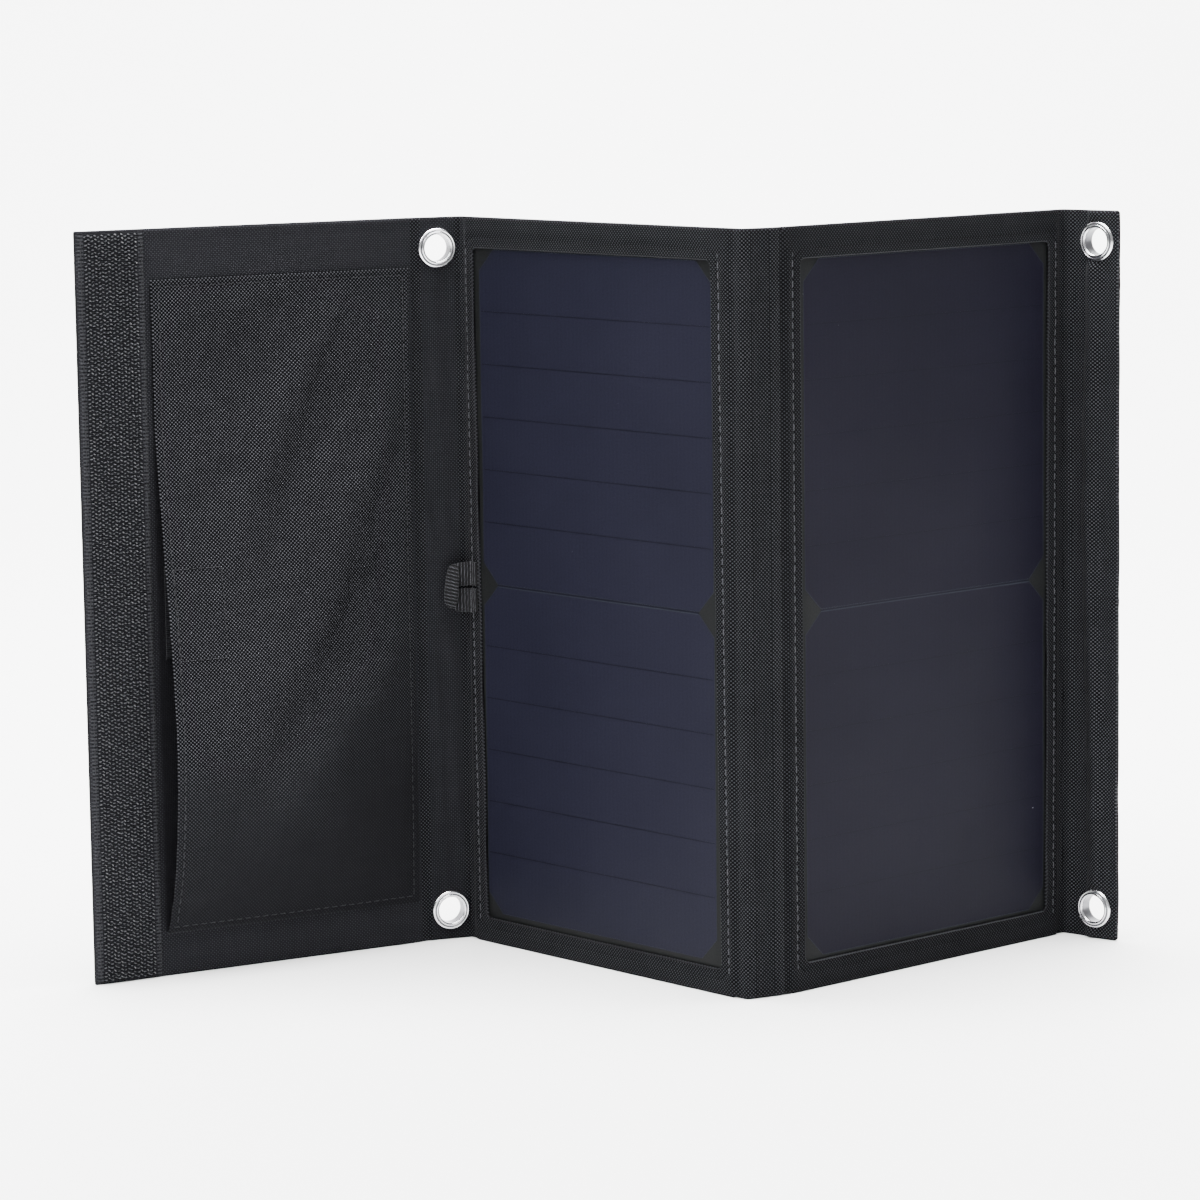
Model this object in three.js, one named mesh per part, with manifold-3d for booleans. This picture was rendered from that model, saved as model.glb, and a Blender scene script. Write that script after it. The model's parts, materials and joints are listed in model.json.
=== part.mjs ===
// Folding fabric solar charger, standing on its lower edge in a zigzag.
// Millimetres, +Z up. The front (cells, pocket mouth, eyelet flanges) faces -Y.
//
// From left to right the row of fabric leaves is: pocket panel, eyelet spine,
// panel 1, centre spine, panel 2, end flap. Each leaf is a group with its own
// local frame: x runs along the leaf from its left end, y points to the back,
// z is up, and y = 0 is the middle of its thickness.

import * as THREE from 'three';
import { mergeVertices } from 'three/addons/utils/BufferGeometryUtils.js';
import Module from 'manifold-3d';

const wasm = await Module();
wasm.setup();

// ---------------------------------------------------------------- dimensions

const HEIGHT = 275;
const POCKET_PANEL_WIDTH = 137;
const EYELET_SPINE_WIDTH = 17.6;
const PANEL_WIDTH = 150;
const CENTRE_SPINE_WIDTH = 11.5;
const END_FLAP_WIDTH = 25;

// headings of the leaves at rest, in degrees from +X
const HEADING = {
  pocketPanel: 30,
  eyeletSpine: 21,
  panel1: -48,
  centreSpine: 28,
  panel2: 42,
  endFlap: -42,
};

const GAP = 0.3; // between pieces that rest on each other
const FABRIC = 0.7;
const THIN_HALF = 1.2; // half thickness of a spine or flap
const PANEL_HALF = 2.35; // half thickness of a solar panel leaf
const POCKET_HALF = 1.6; // half thickness of the pocket panel
const RIM = 3; // width of the turned-in hem around a leaf
const THIN_RIM = 2; // the same for a spine or flap

const WINDOW_WIDTH = 128;
const WINDOW_HEIGHT = 254;
const WINDOW_BOTTOM = 9.5;
const WINDOW_CORNER = 3;
const WINDOW_SIDE_MARGIN = 10; // outer side of each panel
const WINDOW_FOLD_MARGIN = 12; // side next to the centre spine

const CELL = 125;
const CELL_CHAMFER = 7.75;
const CELL_GAP = 1;
const CELL_MIDDLE_Z = 137.5;
const FILM_THICKNESS = 0.5;
const CELL_THICKNESS = 0.4;
const BOARD_THICKNESS = 1.2;
const LAMINATE_LAP = 3; // how far the laminate runs behind the window edge
const RIBBON = { width: 2, inset: 0.2, reach: 110 }; // reach: up and down from the cells' middle
const DIODE = { length: 10, height: 6, inset: 1, rise: 9 }; // from the laminate's lower outer corner

const EYELET_BORE = 5;
const EYELET_BARREL = 5.5;
const EYELET_FLANGE = 7.5;
const EYELET_HOLE = EYELET_BARREL + GAP;
const EYELET_Z = { lower: 11.5, upper: HEIGHT - 11.5 };
const SPINE_EYELET_X = { lower: 9.5, upper: 8.5 };
const FLAP_EYELET_X = { lower: 15, upper: 15.5 };

const LEAD_Z = 40;
const LEAD_HEIGHT = 5;
const LEAD_THICKNESS = 0.4;
const LEAD_ENTRY_X = 112; // where the lead passes through the pocket panel's lining
const LEAD_DROP_Z = 68; // where it enters the charge controller
const CABLE_RADIUS = 0.7;

const TAPE_WIDTH = 26;
const POCKET = { left: 28.5, right: 133.3, bottom: 16, top: 256.5, peak: 78, rise: 13.5 };
const PATCH = { left: 31, width: 20, bottom: 118, height: 34, thickness: 0.8 };
const CONTROLLER = { left: 38, right: 66, bottom: 60, top: 108, depth: 9.6, wall: 1 };
const CIRCUIT = { sideGap: 2, endGap: 2.5, thickness: 1 };
const USB = { length: 14, height: 5.7, width: 13.2, wall: 0.5, tongue: 1.6 };
const USB_Z = [72, 96];

const LOOP = { reach: 13, run: 8.4, gap: 4.6, tip: 4.6, thickness: 1.5, middleZ: 136 };
const LOOP_SEAM_X = 5; // from the crease beside panel 1

// clear space that each fold needs on either side of its crease
const CREASE = { pocket: 0.6, spine: 0.5, centre: 1.1, flap: 0.7 };
// the strip beside a crease where a solar panel leaf is as thin as a spine
const HEM_STRIP = 2.6;
const THICK_RANGE = [HEM_STRIP, PANEL_WIDTH - HEM_STRIP - 0.4];

// ----------------------------------------------------------------- materials

const finish = (color, roughness, metalness = 0) =>
  new THREE.MeshStandardMaterial({ color, roughness, metalness });

const MATERIAL = {
  fabric: finish(0x24252a, 0.85),
  lining: finish(0x1f2024, 0.9),
  tape: finish(0x2c2d31, 0.95),
  webbing: finish(0x1b1c1f, 0.9),
  film: finish(0x1d2030, 0.35),
  cell: finish(0x242a48, 0.4, 0.1),
  board: finish(0x1c211d, 0.6),
  copper: finish(0xb9bcc0, 0.35, 0.9),
  lead: finish(0x16171a, 0.6),
  nickel: finish(0xd6d8da, 0.2, 1),
  moulding: finish(0x17181b, 0.5),
  circuit: finish(0x1d5a36, 0.5),
};

// ------------------------------------------------------------ solid modelling

// A merged, position-only copy of a closed geometry as a manifold solid.
function toSolid(geometry) {
  const bare = geometry.clone();
  bare.deleteAttribute('normal');
  bare.deleteAttribute('uv');
  const merged = mergeVertices(bare, 1e-4);
  return new wasm.Manifold(
    new wasm.Mesh({
      numProp: 3,
      vertProperties: new Float32Array(merged.attributes.position.array),
      triVerts: new Uint32Array(merged.index.array),
    }),
  );
}

function toGeometry(solid) {
  const { vertProperties, triVerts } = solid.getMesh();
  const geometry = new THREE.BufferGeometry();
  geometry.setAttribute('position', new THREE.BufferAttribute(vertProperties, 3));
  geometry.setIndex(new THREE.BufferAttribute(triVerts, 1));
  geometry.computeVertexNormals();
  return geometry;
}

const join = (first, ...rest) =>
  toGeometry(rest.reduce((whole, part) => whole.add(toSolid(part)), toSolid(first)));

const cut = (first, ...tools) =>
  toGeometry(tools.reduce((whole, tool) => whole.subtract(toSolid(tool)), toSolid(first)));

// A box between two corners: x along the leaf, y to the back, z up.
function slab([x0, x1], [y0, y1], [z0, z1]) {
  const geometry = new THREE.BoxGeometry(x1 - x0, y1 - y0, z1 - z0);
  return geometry.translate((x0 + x1) / 2, (y0 + y1) / 2, (z0 + z1) / 2);
}

// A flat outline, drawn in x and z, given a thickness from front to back.
function plate(shape, front, back) {
  const options = { depth: back - front, bevelEnabled: false, curveSegments: 6 };
  return new THREE.ExtrudeGeometry(shape, options).rotateX(Math.PI / 2).translate(0, back, 0);
}

function roundedRectangle([x0, x1], [z0, z1], radius) {
  const shape = new THREE.Shape();
  shape.moveTo(x0 + radius, z0);
  shape.lineTo(x1 - radius, z0);
  shape.absarc(x1 - radius, z0 + radius, radius, -Math.PI / 2, 0);
  shape.lineTo(x1, z1 - radius);
  shape.absarc(x1 - radius, z1 - radius, radius, 0, Math.PI / 2);
  shape.lineTo(x0 + radius, z1);
  shape.absarc(x0 + radius, z1 - radius, radius, Math.PI / 2, Math.PI);
  shape.lineTo(x0, z0 + radius);
  shape.absarc(x0 + radius, z0 + radius, radius, Math.PI, Math.PI * 1.5);
  return shape;
}

const rectangle = ([x0, x1], [z0, z1]) =>
  new THREE.Shape([
    new THREE.Vector2(x0, z0),
    new THREE.Vector2(x1, z0),
    new THREE.Vector2(x1, z1),
    new THREE.Vector2(x0, z1),
  ]);

const circle = (x, z, radius) => new THREE.Path().absarc(x, z, radius, 0, Math.PI * 2, true);

function part(name, geometry, material) {
  const mesh = new THREE.Mesh(geometry, material);
  mesh.name = name;
  return mesh;
}

// -------------------------------------------------------------- leaves in plan

// A leaf stands where its local point (x, y) meets a given point of the plan.
function standLeaf(heading, pivot, x, y) {
  const leaf = new THREE.Group();
  leaf.rotation.z = THREE.MathUtils.degToRad(heading);
  const offset = new THREE.Vector3(x, y, 0).applyEuler(leaf.rotation);
  leaf.position.set(pivot.x - offset.x, pivot.y - offset.y, 0);
  leaf.updateMatrixWorld(true);
  return leaf;
}

const pointOn = (leaf, x, y) => leaf.localToWorld(new THREE.Vector3(x, y, 0));

const model = new THREE.Group();

// Each crease turns about the surface that it closes towards: the front
// surface beside the eyelet spine and flap, the back surface beside the
// centre spine.
const panel1 = standLeaf(HEADING.panel1, new THREE.Vector3(), 0, -THIN_HALF);
const eyeletSpine = standLeaf(
  HEADING.eyeletSpine, pointOn(panel1, 0, -THIN_HALF), EYELET_SPINE_WIDTH, -THIN_HALF);
const pocketPanel = standLeaf(
  HEADING.pocketPanel, pointOn(eyeletSpine, 0, -THIN_HALF), POCKET_PANEL_WIDTH, -THIN_HALF);
const centreSpine = standLeaf(
  HEADING.centreSpine, pointOn(panel1, PANEL_WIDTH, THIN_HALF), 0, THIN_HALF);
const panel2 = standLeaf(
  HEADING.panel2, pointOn(centreSpine, CENTRE_SPINE_WIDTH, THIN_HALF), 0, THIN_HALF);
const endFlap = standLeaf(
  HEADING.endFlap, pointOn(panel2, PANEL_WIDTH, -THIN_HALF), 0, -THIN_HALF);

// The loop swings about the seam that holds its two ends.
const LOOP_SEAM_Y = -PANEL_HALF - 0.35 - LOOP.thickness / 2;
const webbingLoop = standLeaf(
  HEADING.eyeletSpine, pointOn(panel1, LOOP_SEAM_X, LOOP_SEAM_Y), 0, 0);

model.add(pocketPanel, eyeletSpine, webbingLoop, panel1, centreSpine, panel2, endFlap);

// -------------------------------------------------------------- solar panels

// The laminate's layers from front to back, as [front, back] in y.
const FILM_Y = [-PANEL_HALF + FABRIC + GAP, -PANEL_HALF + FABRIC + GAP + FILM_THICKNESS];
const CELL_Y = [FILM_Y[1] + GAP, FILM_Y[1] + GAP + CELL_THICKNESS];
const BOARD_Y = [CELL_Y[1] + GAP, CELL_Y[1] + GAP + BOARD_THICKNESS];

const leadSpan = [LEAD_Z - LEAD_HEIGHT / 2, LEAD_Z + LEAD_HEIGHT / 2];
const leadSlotSpan = [leadSpan[0] - GAP, leadSpan[1] + GAP];
const leadSlotDepth = [-LEAD_THICKNESS / 2 - GAP, LEAD_THICKNESS / 2 + GAP];

// A fabric tray: a back sheet with a hem turned in around its edge.
function hemTray([x0, x1], half, hemFront) {
  const sheet = slab([x0, x1], [half - FABRIC, half], [0, HEIGHT]);
  const hemOutline = rectangle([x0, x1], [0, HEIGHT]);
  hemOutline.holes.push(rectangle([x0 + RIM, x1 - RIM], [RIM, HEIGHT - RIM]));
  return join(sheet, plate(hemOutline, hemFront, half - FABRIC / 2));
}

function panelBackCover(leftCrease, rightCrease) {
  const tray = hemTray(THICK_RANGE, PANEL_HALF, -PANEL_HALF + FABRIC + GAP);
  const overlap = 0.2;
  const strip = (range) => slab(range, [-THIN_HALF, THIN_HALF], [0, HEIGHT]);
  const leftStrip = strip([leftCrease, THICK_RANGE[0] + overlap]);
  const rightStrip = strip([THICK_RANGE[1] - overlap, PANEL_WIDTH - rightCrease]);
  return join(tray, leftStrip, rightStrip);
}

const leadSlot = (range) => slab(range, leadSlotDepth, leadSlotSpan);
const flatLead = (range) =>
  slab(range, [-LEAD_THICKNESS / 2, LEAD_THICKNESS / 2], leadSpan);

function cellOutline(x0, z0) {
  const [x1, z1] = [x0 + CELL, z0 + CELL];
  const c = CELL_CHAMFER;
  return new THREE.Shape([
    new THREE.Vector2(x0 + c, z0),
    new THREE.Vector2(x1 - c, z0),
    new THREE.Vector2(x1, z0 + c),
    new THREE.Vector2(x1, z1 - c),
    new THREE.Vector2(x1 - c, z1),
    new THREE.Vector2(x0 + c, z1),
    new THREE.Vector2(x0, z1 - c),
    new THREE.Vector2(x0, z0 + c),
  ]);
}

// foldOnRight is true where the centre spine is on the panel's right.
function addSolarPanel(leaf, name, foldOnRight, leftCrease, rightCrease) {
  const windowLeft = foldOnRight ? WINDOW_SIDE_MARGIN : WINDOW_FOLD_MARGIN;
  const windowX = [windowLeft, windowLeft + WINDOW_WIDTH];
  const windowZ = [WINDOW_BOTTOM, WINDOW_BOTTOM + WINDOW_HEIGHT];
  const laminateX = [windowX[0] - LAMINATE_LAP, windowX[1] + LAMINATE_LAP];
  const laminateZ = [windowZ[0] - LAMINATE_LAP, windowZ[1] + LAMINATE_LAP];

  const frameOutline = rectangle(THICK_RANGE, [0, HEIGHT]);
  frameOutline.holes.push(roundedRectangle(windowX, windowZ, WINDOW_CORNER));
  const frame = plate(frameOutline, -PANEL_HALF, -PANEL_HALF + FABRIC);

  const cellLeft = windowX[0] + (WINDOW_WIDTH - CELL) / 2;
  const upperCell = plate(cellOutline(cellLeft, CELL_MIDDLE_Z + CELL_GAP / 2), ...CELL_Y);
  const lowerCell = plate(cellOutline(cellLeft, CELL_MIDDLE_Z - CELL_GAP / 2 - CELL), ...CELL_Y);

  // the ribbon joins the two cells beside them, under the fabric frame
  const inner = RIBBON.inset + RIBBON.width;
  const ribbonX = foldOnRight
    ? [laminateX[1] - inner, laminateX[1] - RIBBON.inset]
    : [laminateX[0] + RIBBON.inset, laminateX[0] + inner];
  const ribbonZ = [CELL_MIDDLE_Z - RIBBON.reach, CELL_MIDDLE_Z + RIBBON.reach];
  const ribbon = slab(ribbonX, CELL_Y, ribbonZ);

  // the diode sits in a notch at the board's outer lower corner
  const diodeEnd = DIODE.inset + DIODE.length;
  const diodeX = foldOnRight
    ? [laminateX[0] + DIODE.inset, laminateX[0] + diodeEnd]
    : [laminateX[1] - diodeEnd, laminateX[1] - DIODE.inset];
  const diodeZ = [laminateZ[0] + DIODE.rise, laminateZ[0] + DIODE.rise + DIODE.height];
  const diode = slab(diodeX, BOARD_Y, diodeZ);
  const notch = slab(
    foldOnRight ? [laminateX[0] - 1, diodeX[1] + 1] : [diodeX[0] - 1, laminateX[1] + 1],
    [BOARD_Y[0] - 1, BOARD_Y[1] + 1],
    [diodeZ[0] - 1, diodeZ[1] + 1],
  );
  const board = cut(plate(rectangle(laminateX, laminateZ), ...BOARD_Y), notch);

  const leftSlot = leadSlot([0, HEM_STRIP + RIM + 1]);
  const rightSlot = leadSlot([PANEL_WIDTH - HEM_STRIP - RIM - 1, PANEL_WIDTH]);
  const backCover = panelBackCover(leftCrease, rightCrease);
  const slottedCover = foldOnRight ? cut(backCover, leftSlot, rightSlot) : cut(backCover, leftSlot);

  leaf.add(
    part(`${name}_front_frame`, frame, MATERIAL.fabric),
    part(`${name}_clear_film`, plate(rectangle(laminateX, laminateZ), ...FILM_Y), MATERIAL.film),
    part(`${name}_upper_cell`, upperCell, MATERIAL.cell),
    part(`${name}_lower_cell`, lowerCell, MATERIAL.cell),
    part(`${name}_bus_ribbon`, ribbon, MATERIAL.copper),
    part(`${name}_backing_board`, board, MATERIAL.board),
    part(`${name}_bypass_diode`, diode, MATERIAL.moulding),
    part(`${name}_back_cover`, slottedCover, MATERIAL.fabric),
    part(`${name}_left_lead`, flatLead([leftCrease, laminateX[0] - GAP]), MATERIAL.lead),
  );
  if (foldOnRight) {
    const rightLead = flatLead([laminateX[1] + GAP, PANEL_WIDTH - rightCrease]);
    leaf.add(part(`${name}_right_lead`, rightLead, MATERIAL.lead));
  }
}

addSolarPanel(panel1, 'panel_1', true, CREASE.spine, CREASE.centre);
addSolarPanel(panel2, 'panel_2', false, CREASE.centre, CREASE.flap);

// The loop tape on panel 2's back is where the pocket panel's hook tape
// lands when the charger is wrapped shut.
const mateLeft = PANEL_WIDTH + EYELET_SPINE_WIDTH - POCKET_PANEL_WIDTH;
const closureLoopTape = slab(
  [mateLeft, mateLeft + TAPE_WIDTH], [PANEL_HALF + GAP, PANEL_HALF + GAP + 1], [4, HEIGHT - 4]);
panel2.add(part('closure_loop_tape', closureLoopTape, MATERIAL.tape));

// ------------------------------------------------------------ spines and flap

// Two thin sheets; the back one has hems turned in at the edges that aren't creases.
function addThinLeaf(leaf, name, [x0, x1], eyeletX, freeRightEdge, hasLead) {
  const sheetOutline = () => {
    const outline = rectangle([x0, x1], [0, HEIGHT]);
    for (const [place, x] of Object.entries(eyeletX)) {
      outline.holes.push(circle(x, EYELET_Z[place], EYELET_HOLE));
    }
    return outline;
  };
  const hemDepth = [-THIN_HALF + FABRIC + GAP, THIN_HALF - FABRIC / 2];
  const hems = [
    slab([x0, x1], hemDepth, [0, THIN_RIM]),
    slab([x0, x1], hemDepth, [HEIGHT - THIN_RIM, HEIGHT]),
  ];
  if (freeRightEdge) hems.push(slab([x1 - THIN_RIM, x1], hemDepth, [0, HEIGHT]));
  const frontSheet = plate(sheetOutline(), -THIN_HALF, -THIN_HALF + FABRIC);
  const backSheet = plate(sheetOutline(), THIN_HALF - FABRIC, THIN_HALF);

  leaf.add(
    part(`${name}_front_fabric`, frontSheet, MATERIAL.fabric),
    part(`${name}_back_fabric`, join(backSheet, ...hems), MATERIAL.fabric),
  );
  if (hasLead) leaf.add(part(`${name}_lead`, flatLead([x0, x1]), MATERIAL.lead));
}

// Revolves an (r, y) outline about the leaf's y direction into a closed ring.
const revolve = (outline) =>
  new THREE.LatheGeometry(
    [...outline, outline[0]].map(([r, y]) => new THREE.Vector2(r, y)), 24);

// The flange, barrel and rolled lip are one pressed ring.
const EYELET_OUTLINE = [
  [EYELET_BORE, -1.9],
  [EYELET_BORE + 0.4, -2.4],
  [EYELET_BORE + 0.8, -2.6],
  [EYELET_BORE + 1.6, -2.6],
  [EYELET_FLANGE - 0.2, -2.2],
  [EYELET_FLANGE, -1.5],
  [EYELET_BARREL, -1.5],
  [EYELET_BARREL, 2.3],
  [EYELET_BARREL + 0.8, 2.3],
  [EYELET_BARREL + 0.5, 2.7],
  [EYELET_BORE + 0.5, 2.7],
  [EYELET_BORE, 2.2],
];
const WASHER_OUTLINE = [
  [EYELET_BARREL + GAP, 1.5],
  [EYELET_FLANGE, 1.5],
  [EYELET_FLANGE - 0.3, 2],
  [EYELET_BARREL + GAP, 2],
];

function addEyelets(leaf, name, eyeletX) {
  for (const [place, x] of Object.entries(eyeletX)) {
    const eyelet = revolve(EYELET_OUTLINE).translate(x, 0, EYELET_Z[place]);
    const washer = revolve(WASHER_OUTLINE).translate(x, 0, EYELET_Z[place]);
    leaf.add(
      part(`${name}_${place}_eyelet`, eyelet, MATERIAL.nickel),
      part(`${name}_${place}_washer`, washer, MATERIAL.nickel),
    );
  }
}

const spineRange = [CREASE.spine, EYELET_SPINE_WIDTH - CREASE.spine];
addThinLeaf(eyeletSpine, 'eyelet_spine', spineRange, SPINE_EYELET_X, false, true);
addEyelets(eyeletSpine, 'eyelet_spine', SPINE_EYELET_X);

const centreRange = [CREASE.centre, CENTRE_SPINE_WIDTH - CREASE.centre];
addThinLeaf(centreSpine, 'centre_spine', centreRange, {}, false, true);

addThinLeaf(endFlap, 'end_flap', [CREASE.flap, END_FLAP_WIDTH], FLAP_EYELET_X, true, false);
addEyelets(endFlap, 'end_flap', FLAP_EYELET_X);

// ------------------------------------------------------------- webbing loop

function addWebbingLoop(leaf) {
  const halfHeight = LOOP.run + LOOP.gap / 2;
  const zRange = [LOOP.middleZ - halfHeight, LOOP.middleZ + halfHeight];
  const half = LOOP.thickness / 2;
  const band = plate(roundedRectangle([-LOOP.reach, 0], zRange, 1.5), -half, half);
  const mouth = slab(
    [-LOOP.reach + LOOP.tip, 1], [-half - 1, half + 1],
    [LOOP.middleZ - LOOP.gap / 2, LOOP.middleZ + LOOP.gap / 2]);
  leaf.add(part('webbing_loop', cut(band, mouth), MATERIAL.webbing));
}

addWebbingLoop(webbingLoop);

// -------------------------------------------------------------- pocket panel

// How far the pocket sheet stands off the lining: most at its mouth, low down.
function pocketRise(x, z) {
  const across = (x - POCKET.left) / (POCKET.right - POCKET.left);
  const below = Math.min(1, (z - POCKET.bottom) / (POCKET.peak - POCKET.bottom));
  const above = Math.max(0, (z - POCKET.peak) / (POCKET.top - POCKET.peak));
  const lowerPart = Math.sin((Math.PI / 2) * Math.max(0, below)) ** 0.7;
  const upperPart = Math.cos((Math.PI / 2) * Math.min(1, above)) ** 3;
  return POCKET.rise * (1 - across ** 3) * lowerPart * upperPart;
}

// A sheet between two corners that follows the pocket's curve at some offset.
function pocketSheet([x0, x1], [z0, z1], back, thickness, columns, rows) {
  const geometry = new THREE.BoxGeometry(x1 - x0, thickness, z1 - z0, columns, 1, rows);
  geometry.translate((x0 + x1) / 2, back - thickness / 2, (z0 + z1) / 2);
  const position = geometry.attributes.position;
  for (let i = 0; i < position.count; i += 1) {
    position.setY(i, position.getY(i) - pocketRise(position.getX(i), position.getZ(i)));
  }
  return geometry;
}

const liningFront = -POCKET_HALF;
const onLining = liningFront - GAP;
const CABLE_Y = onLining - 2.55; // where the lead enters the controller
const pocketPanelRange = [0, POCKET_PANEL_WIDTH - CREASE.pocket];

function addPocketPanelShell(leaf) {
  const tray = hemTray(pocketPanelRange, POCKET_HALF, liningFront + FABRIC + GAP);
  const slot = leadSlot([pocketPanelRange[1] - RIM - 1, POCKET_PANEL_WIDTH]);
  const lining = cut(
    slab(pocketPanelRange, [liningFront, liningFront + FABRIC], [0, HEIGHT]),
    slab([LEAD_ENTRY_X - 4, LEAD_ENTRY_X], [liningFront - 1, 0], leadSlotSpan),
  );
  const boardY = [liningFront + FABRIC + GAP, POCKET_HALF - FABRIC - GAP];
  const boardX = [RIM + GAP, pocketPanelRange[1] - RIM - GAP];
  const stiffener = cut(
    plate(roundedRectangle(boardX, [RIM + GAP, HEIGHT - RIM - GAP], 4), ...boardY),
    slab([LEAD_ENTRY_X - 5, POCKET_PANEL_WIDTH], [boardY[0] - 1, boardY[1] + 1], leadSlotSpan),
  );
  leaf.add(
    part('pocket_panel_back_cover', cut(tray, slot), MATERIAL.fabric),
    part('pocket_panel_stiffener', stiffener, MATERIAL.board),
    part('pocket_panel_front_lining', lining, MATERIAL.lining),
  );
}

function addPocket(leaf) {
  const pocketX = [POCKET.left, POCKET.right];
  const sheet = pocketSheet(pocketX, [POCKET.bottom, POCKET.top], onLining, FABRIC, 14, 24);
  const patchX = [PATCH.left, PATCH.left + PATCH.width];
  const patchZ = [PATCH.bottom, PATCH.bottom + PATCH.height];
  const hookPatch = pocketSheet(
    patchX, patchZ, onLining + GAP + PATCH.thickness, PATCH.thickness, 4, 6);
  const loopPatch = slab(patchX, [onLining - PATCH.thickness, onLining], patchZ);
  leaf.add(
    part('storage_pocket', sheet, MATERIAL.fabric),
    part('pocket_hook_patch', hookPatch, MATERIAL.tape),
    part('pocket_loop_patch', loopPatch, MATERIAL.tape),
  );
}

function addHookTape(leaf) {
  const tape = slab([0.4, TAPE_WIDTH], [onLining - 1.5, onLining], [0.5, HEIGHT - 0.5]);
  leaf.add(part('closure_hook_tape', tape, MATERIAL.tape));
}

addPocketPanelShell(pocketPanel);
addHookTape(pocketPanel);
addPocket(pocketPanel);

// --------------------------------------------------------- charge controller

// The sockets open towards the pocket's mouth. Depths run from the lining
// (y = onLining) to the lid, in the direction of -y.
function addController(leaf) {
  const { left, right, bottom, top, depth, wall } = CONTROLLER;
  const back = onLining;
  const front = back - depth;
  const lidBack = front + wall;

  const shell = slab([left, right], [lidBack + GAP, back], [bottom, top]);
  const cavity = slab(
    [left + wall, right - wall], [front - 1, back - wall], [bottom + wall, top - wall]);
  const boardBack = back - wall - GAP;
  const boardFront = boardBack - CIRCUIT.thickness;
  const board = slab(
    [left + CIRCUIT.sideGap, right - CIRCUIT.sideGap],
    [boardFront, boardBack],
    [bottom + CIRCUIT.endGap, top - CIRCUIT.endGap],
  );
  const portBack = boardFront - GAP;
  const portFront = portBack - USB.height;

  const portCuts = USB_Z.map((z) =>
    slab(
      [left - 1, left + wall + 1],
      [portFront - GAP, portBack + GAP],
      [z - USB.width / 2 - GAP, z + USB.width / 2 + GAP],
    ),
  );
  const leadCut = slab(
    [right - wall - 1, right + 1],
    [CABLE_Y - CABLE_RADIUS - GAP, CABLE_Y + CABLE_RADIUS + GAP],
    [LEAD_DROP_Z - CABLE_RADIUS - 2 * GAP, LEAD_DROP_Z + CABLE_RADIUS + 2 * GAP],
  );

  const lidPlate = slab([left, right], [front, lidBack], [bottom, top]);
  const lidLip = slab(
    [left + wall + GAP, right - wall - GAP],
    [lidBack - wall / 2, lidBack + 2 * GAP],
    [bottom + wall + GAP, top - wall - GAP],
  );
  const portRelief = USB_Z.map((z) =>
    slab(
      [left - 1, left + USB.length + 1],
      [lidBack - 0.05, lidBack + 2],
      [z - USB.width / 2 - GAP, z + USB.width / 2 + GAP],
    ),
  );

  leaf.add(
    part('charge_controller_case', cut(shell, cavity, ...portCuts, leadCut), MATERIAL.moulding),
    part('charge_controller_lid', cut(join(lidPlate, lidLip), ...portRelief), MATERIAL.moulding),
    part('charge_controller_board', board, MATERIAL.circuit),
  );
  const names = ['lower_usb_socket', 'upper_usb_socket'];
  USB_Z.forEach((z, i) => {
    leaf.add(part(names[i], usbSocket(left + 0.2, portFront, portBack, z), MATERIAL.nickel));
  });
}

// A pressed shell, open towards -x, with its contact tongue inside.
function usbSocket(x, front, back, z) {
  const zRange = [z - USB.width / 2, z + USB.width / 2];
  const shell = slab([x, x + USB.length], [front, back], zRange);
  const mouth = slab(
    [x - 1, x + USB.length - 1],
    [front + USB.wall, back - USB.wall],
    [zRange[0] + USB.wall, zRange[1] - USB.wall],
  );
  const tongue = slab(
    [x + 2, x + USB.length - 0.5],
    [back - USB.wall - 0.6 - USB.tongue, back - USB.wall - 0.6],
    [zRange[0] + 1, zRange[1] - 1],
  );
  return join(cut(shell, mouth), tongue);
}

// The lead leaves the hem's slot, passes through the lining behind the pocket
// and rises to the controller's side.
function addControllerLead(leaf) {
  const start = POCKET_PANEL_WIDTH - CREASE.pocket;
  const bend = new THREE.CatmullRomCurve3([
    new THREE.Vector3(LEAD_ENTRY_X - 1.5, onLining - 1.1, LEAD_Z),
    new THREE.Vector3(104, onLining - 1.2, LEAD_Z + 2),
    new THREE.Vector3(94, onLining - 1.6, LEAD_Z + 9),
    new THREE.Vector3(84, onLining - 2.2, LEAD_Z + 22),
    new THREE.Vector3(75, CABLE_Y, LEAD_DROP_Z),
    new THREE.Vector3(CONTROLLER.right - 1.6, CABLE_Y, LEAD_DROP_Z),
  ]);
  const section = new THREE.Shape().absarc(0, 0, CABLE_RADIUS, 0, Math.PI * 2);
  const options = { steps: 40, curveSegments: 4, extrudePath: bend };
  const cable = new THREE.ExtrudeGeometry(section, options);
  const ribbon = flatLead([LEAD_ENTRY_X - 3, start]);
  const riser = slab(
    [LEAD_ENTRY_X - 3, LEAD_ENTRY_X - 1.2], [onLining - 1.6, LEAD_THICKNESS / 2], leadSpan);
  leaf.add(part('controller_lead', join(cable, riser, ribbon), MATERIAL.lead));
}

addController(pocketPanel);
addControllerLead(pocketPanel);

// ------------------------------------------------------------------- placing

// The origin is under the middle of the object's box.
const box = new THREE.Box3().setFromObject(model, true);
const middle = box.getCenter(new THREE.Vector3());
model.position.set(-middle.x, -middle.y, -box.min.z);

export default model;
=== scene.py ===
import json
import math

import bpy
import numpy as np
from mathutils import Matrix, Vector


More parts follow.
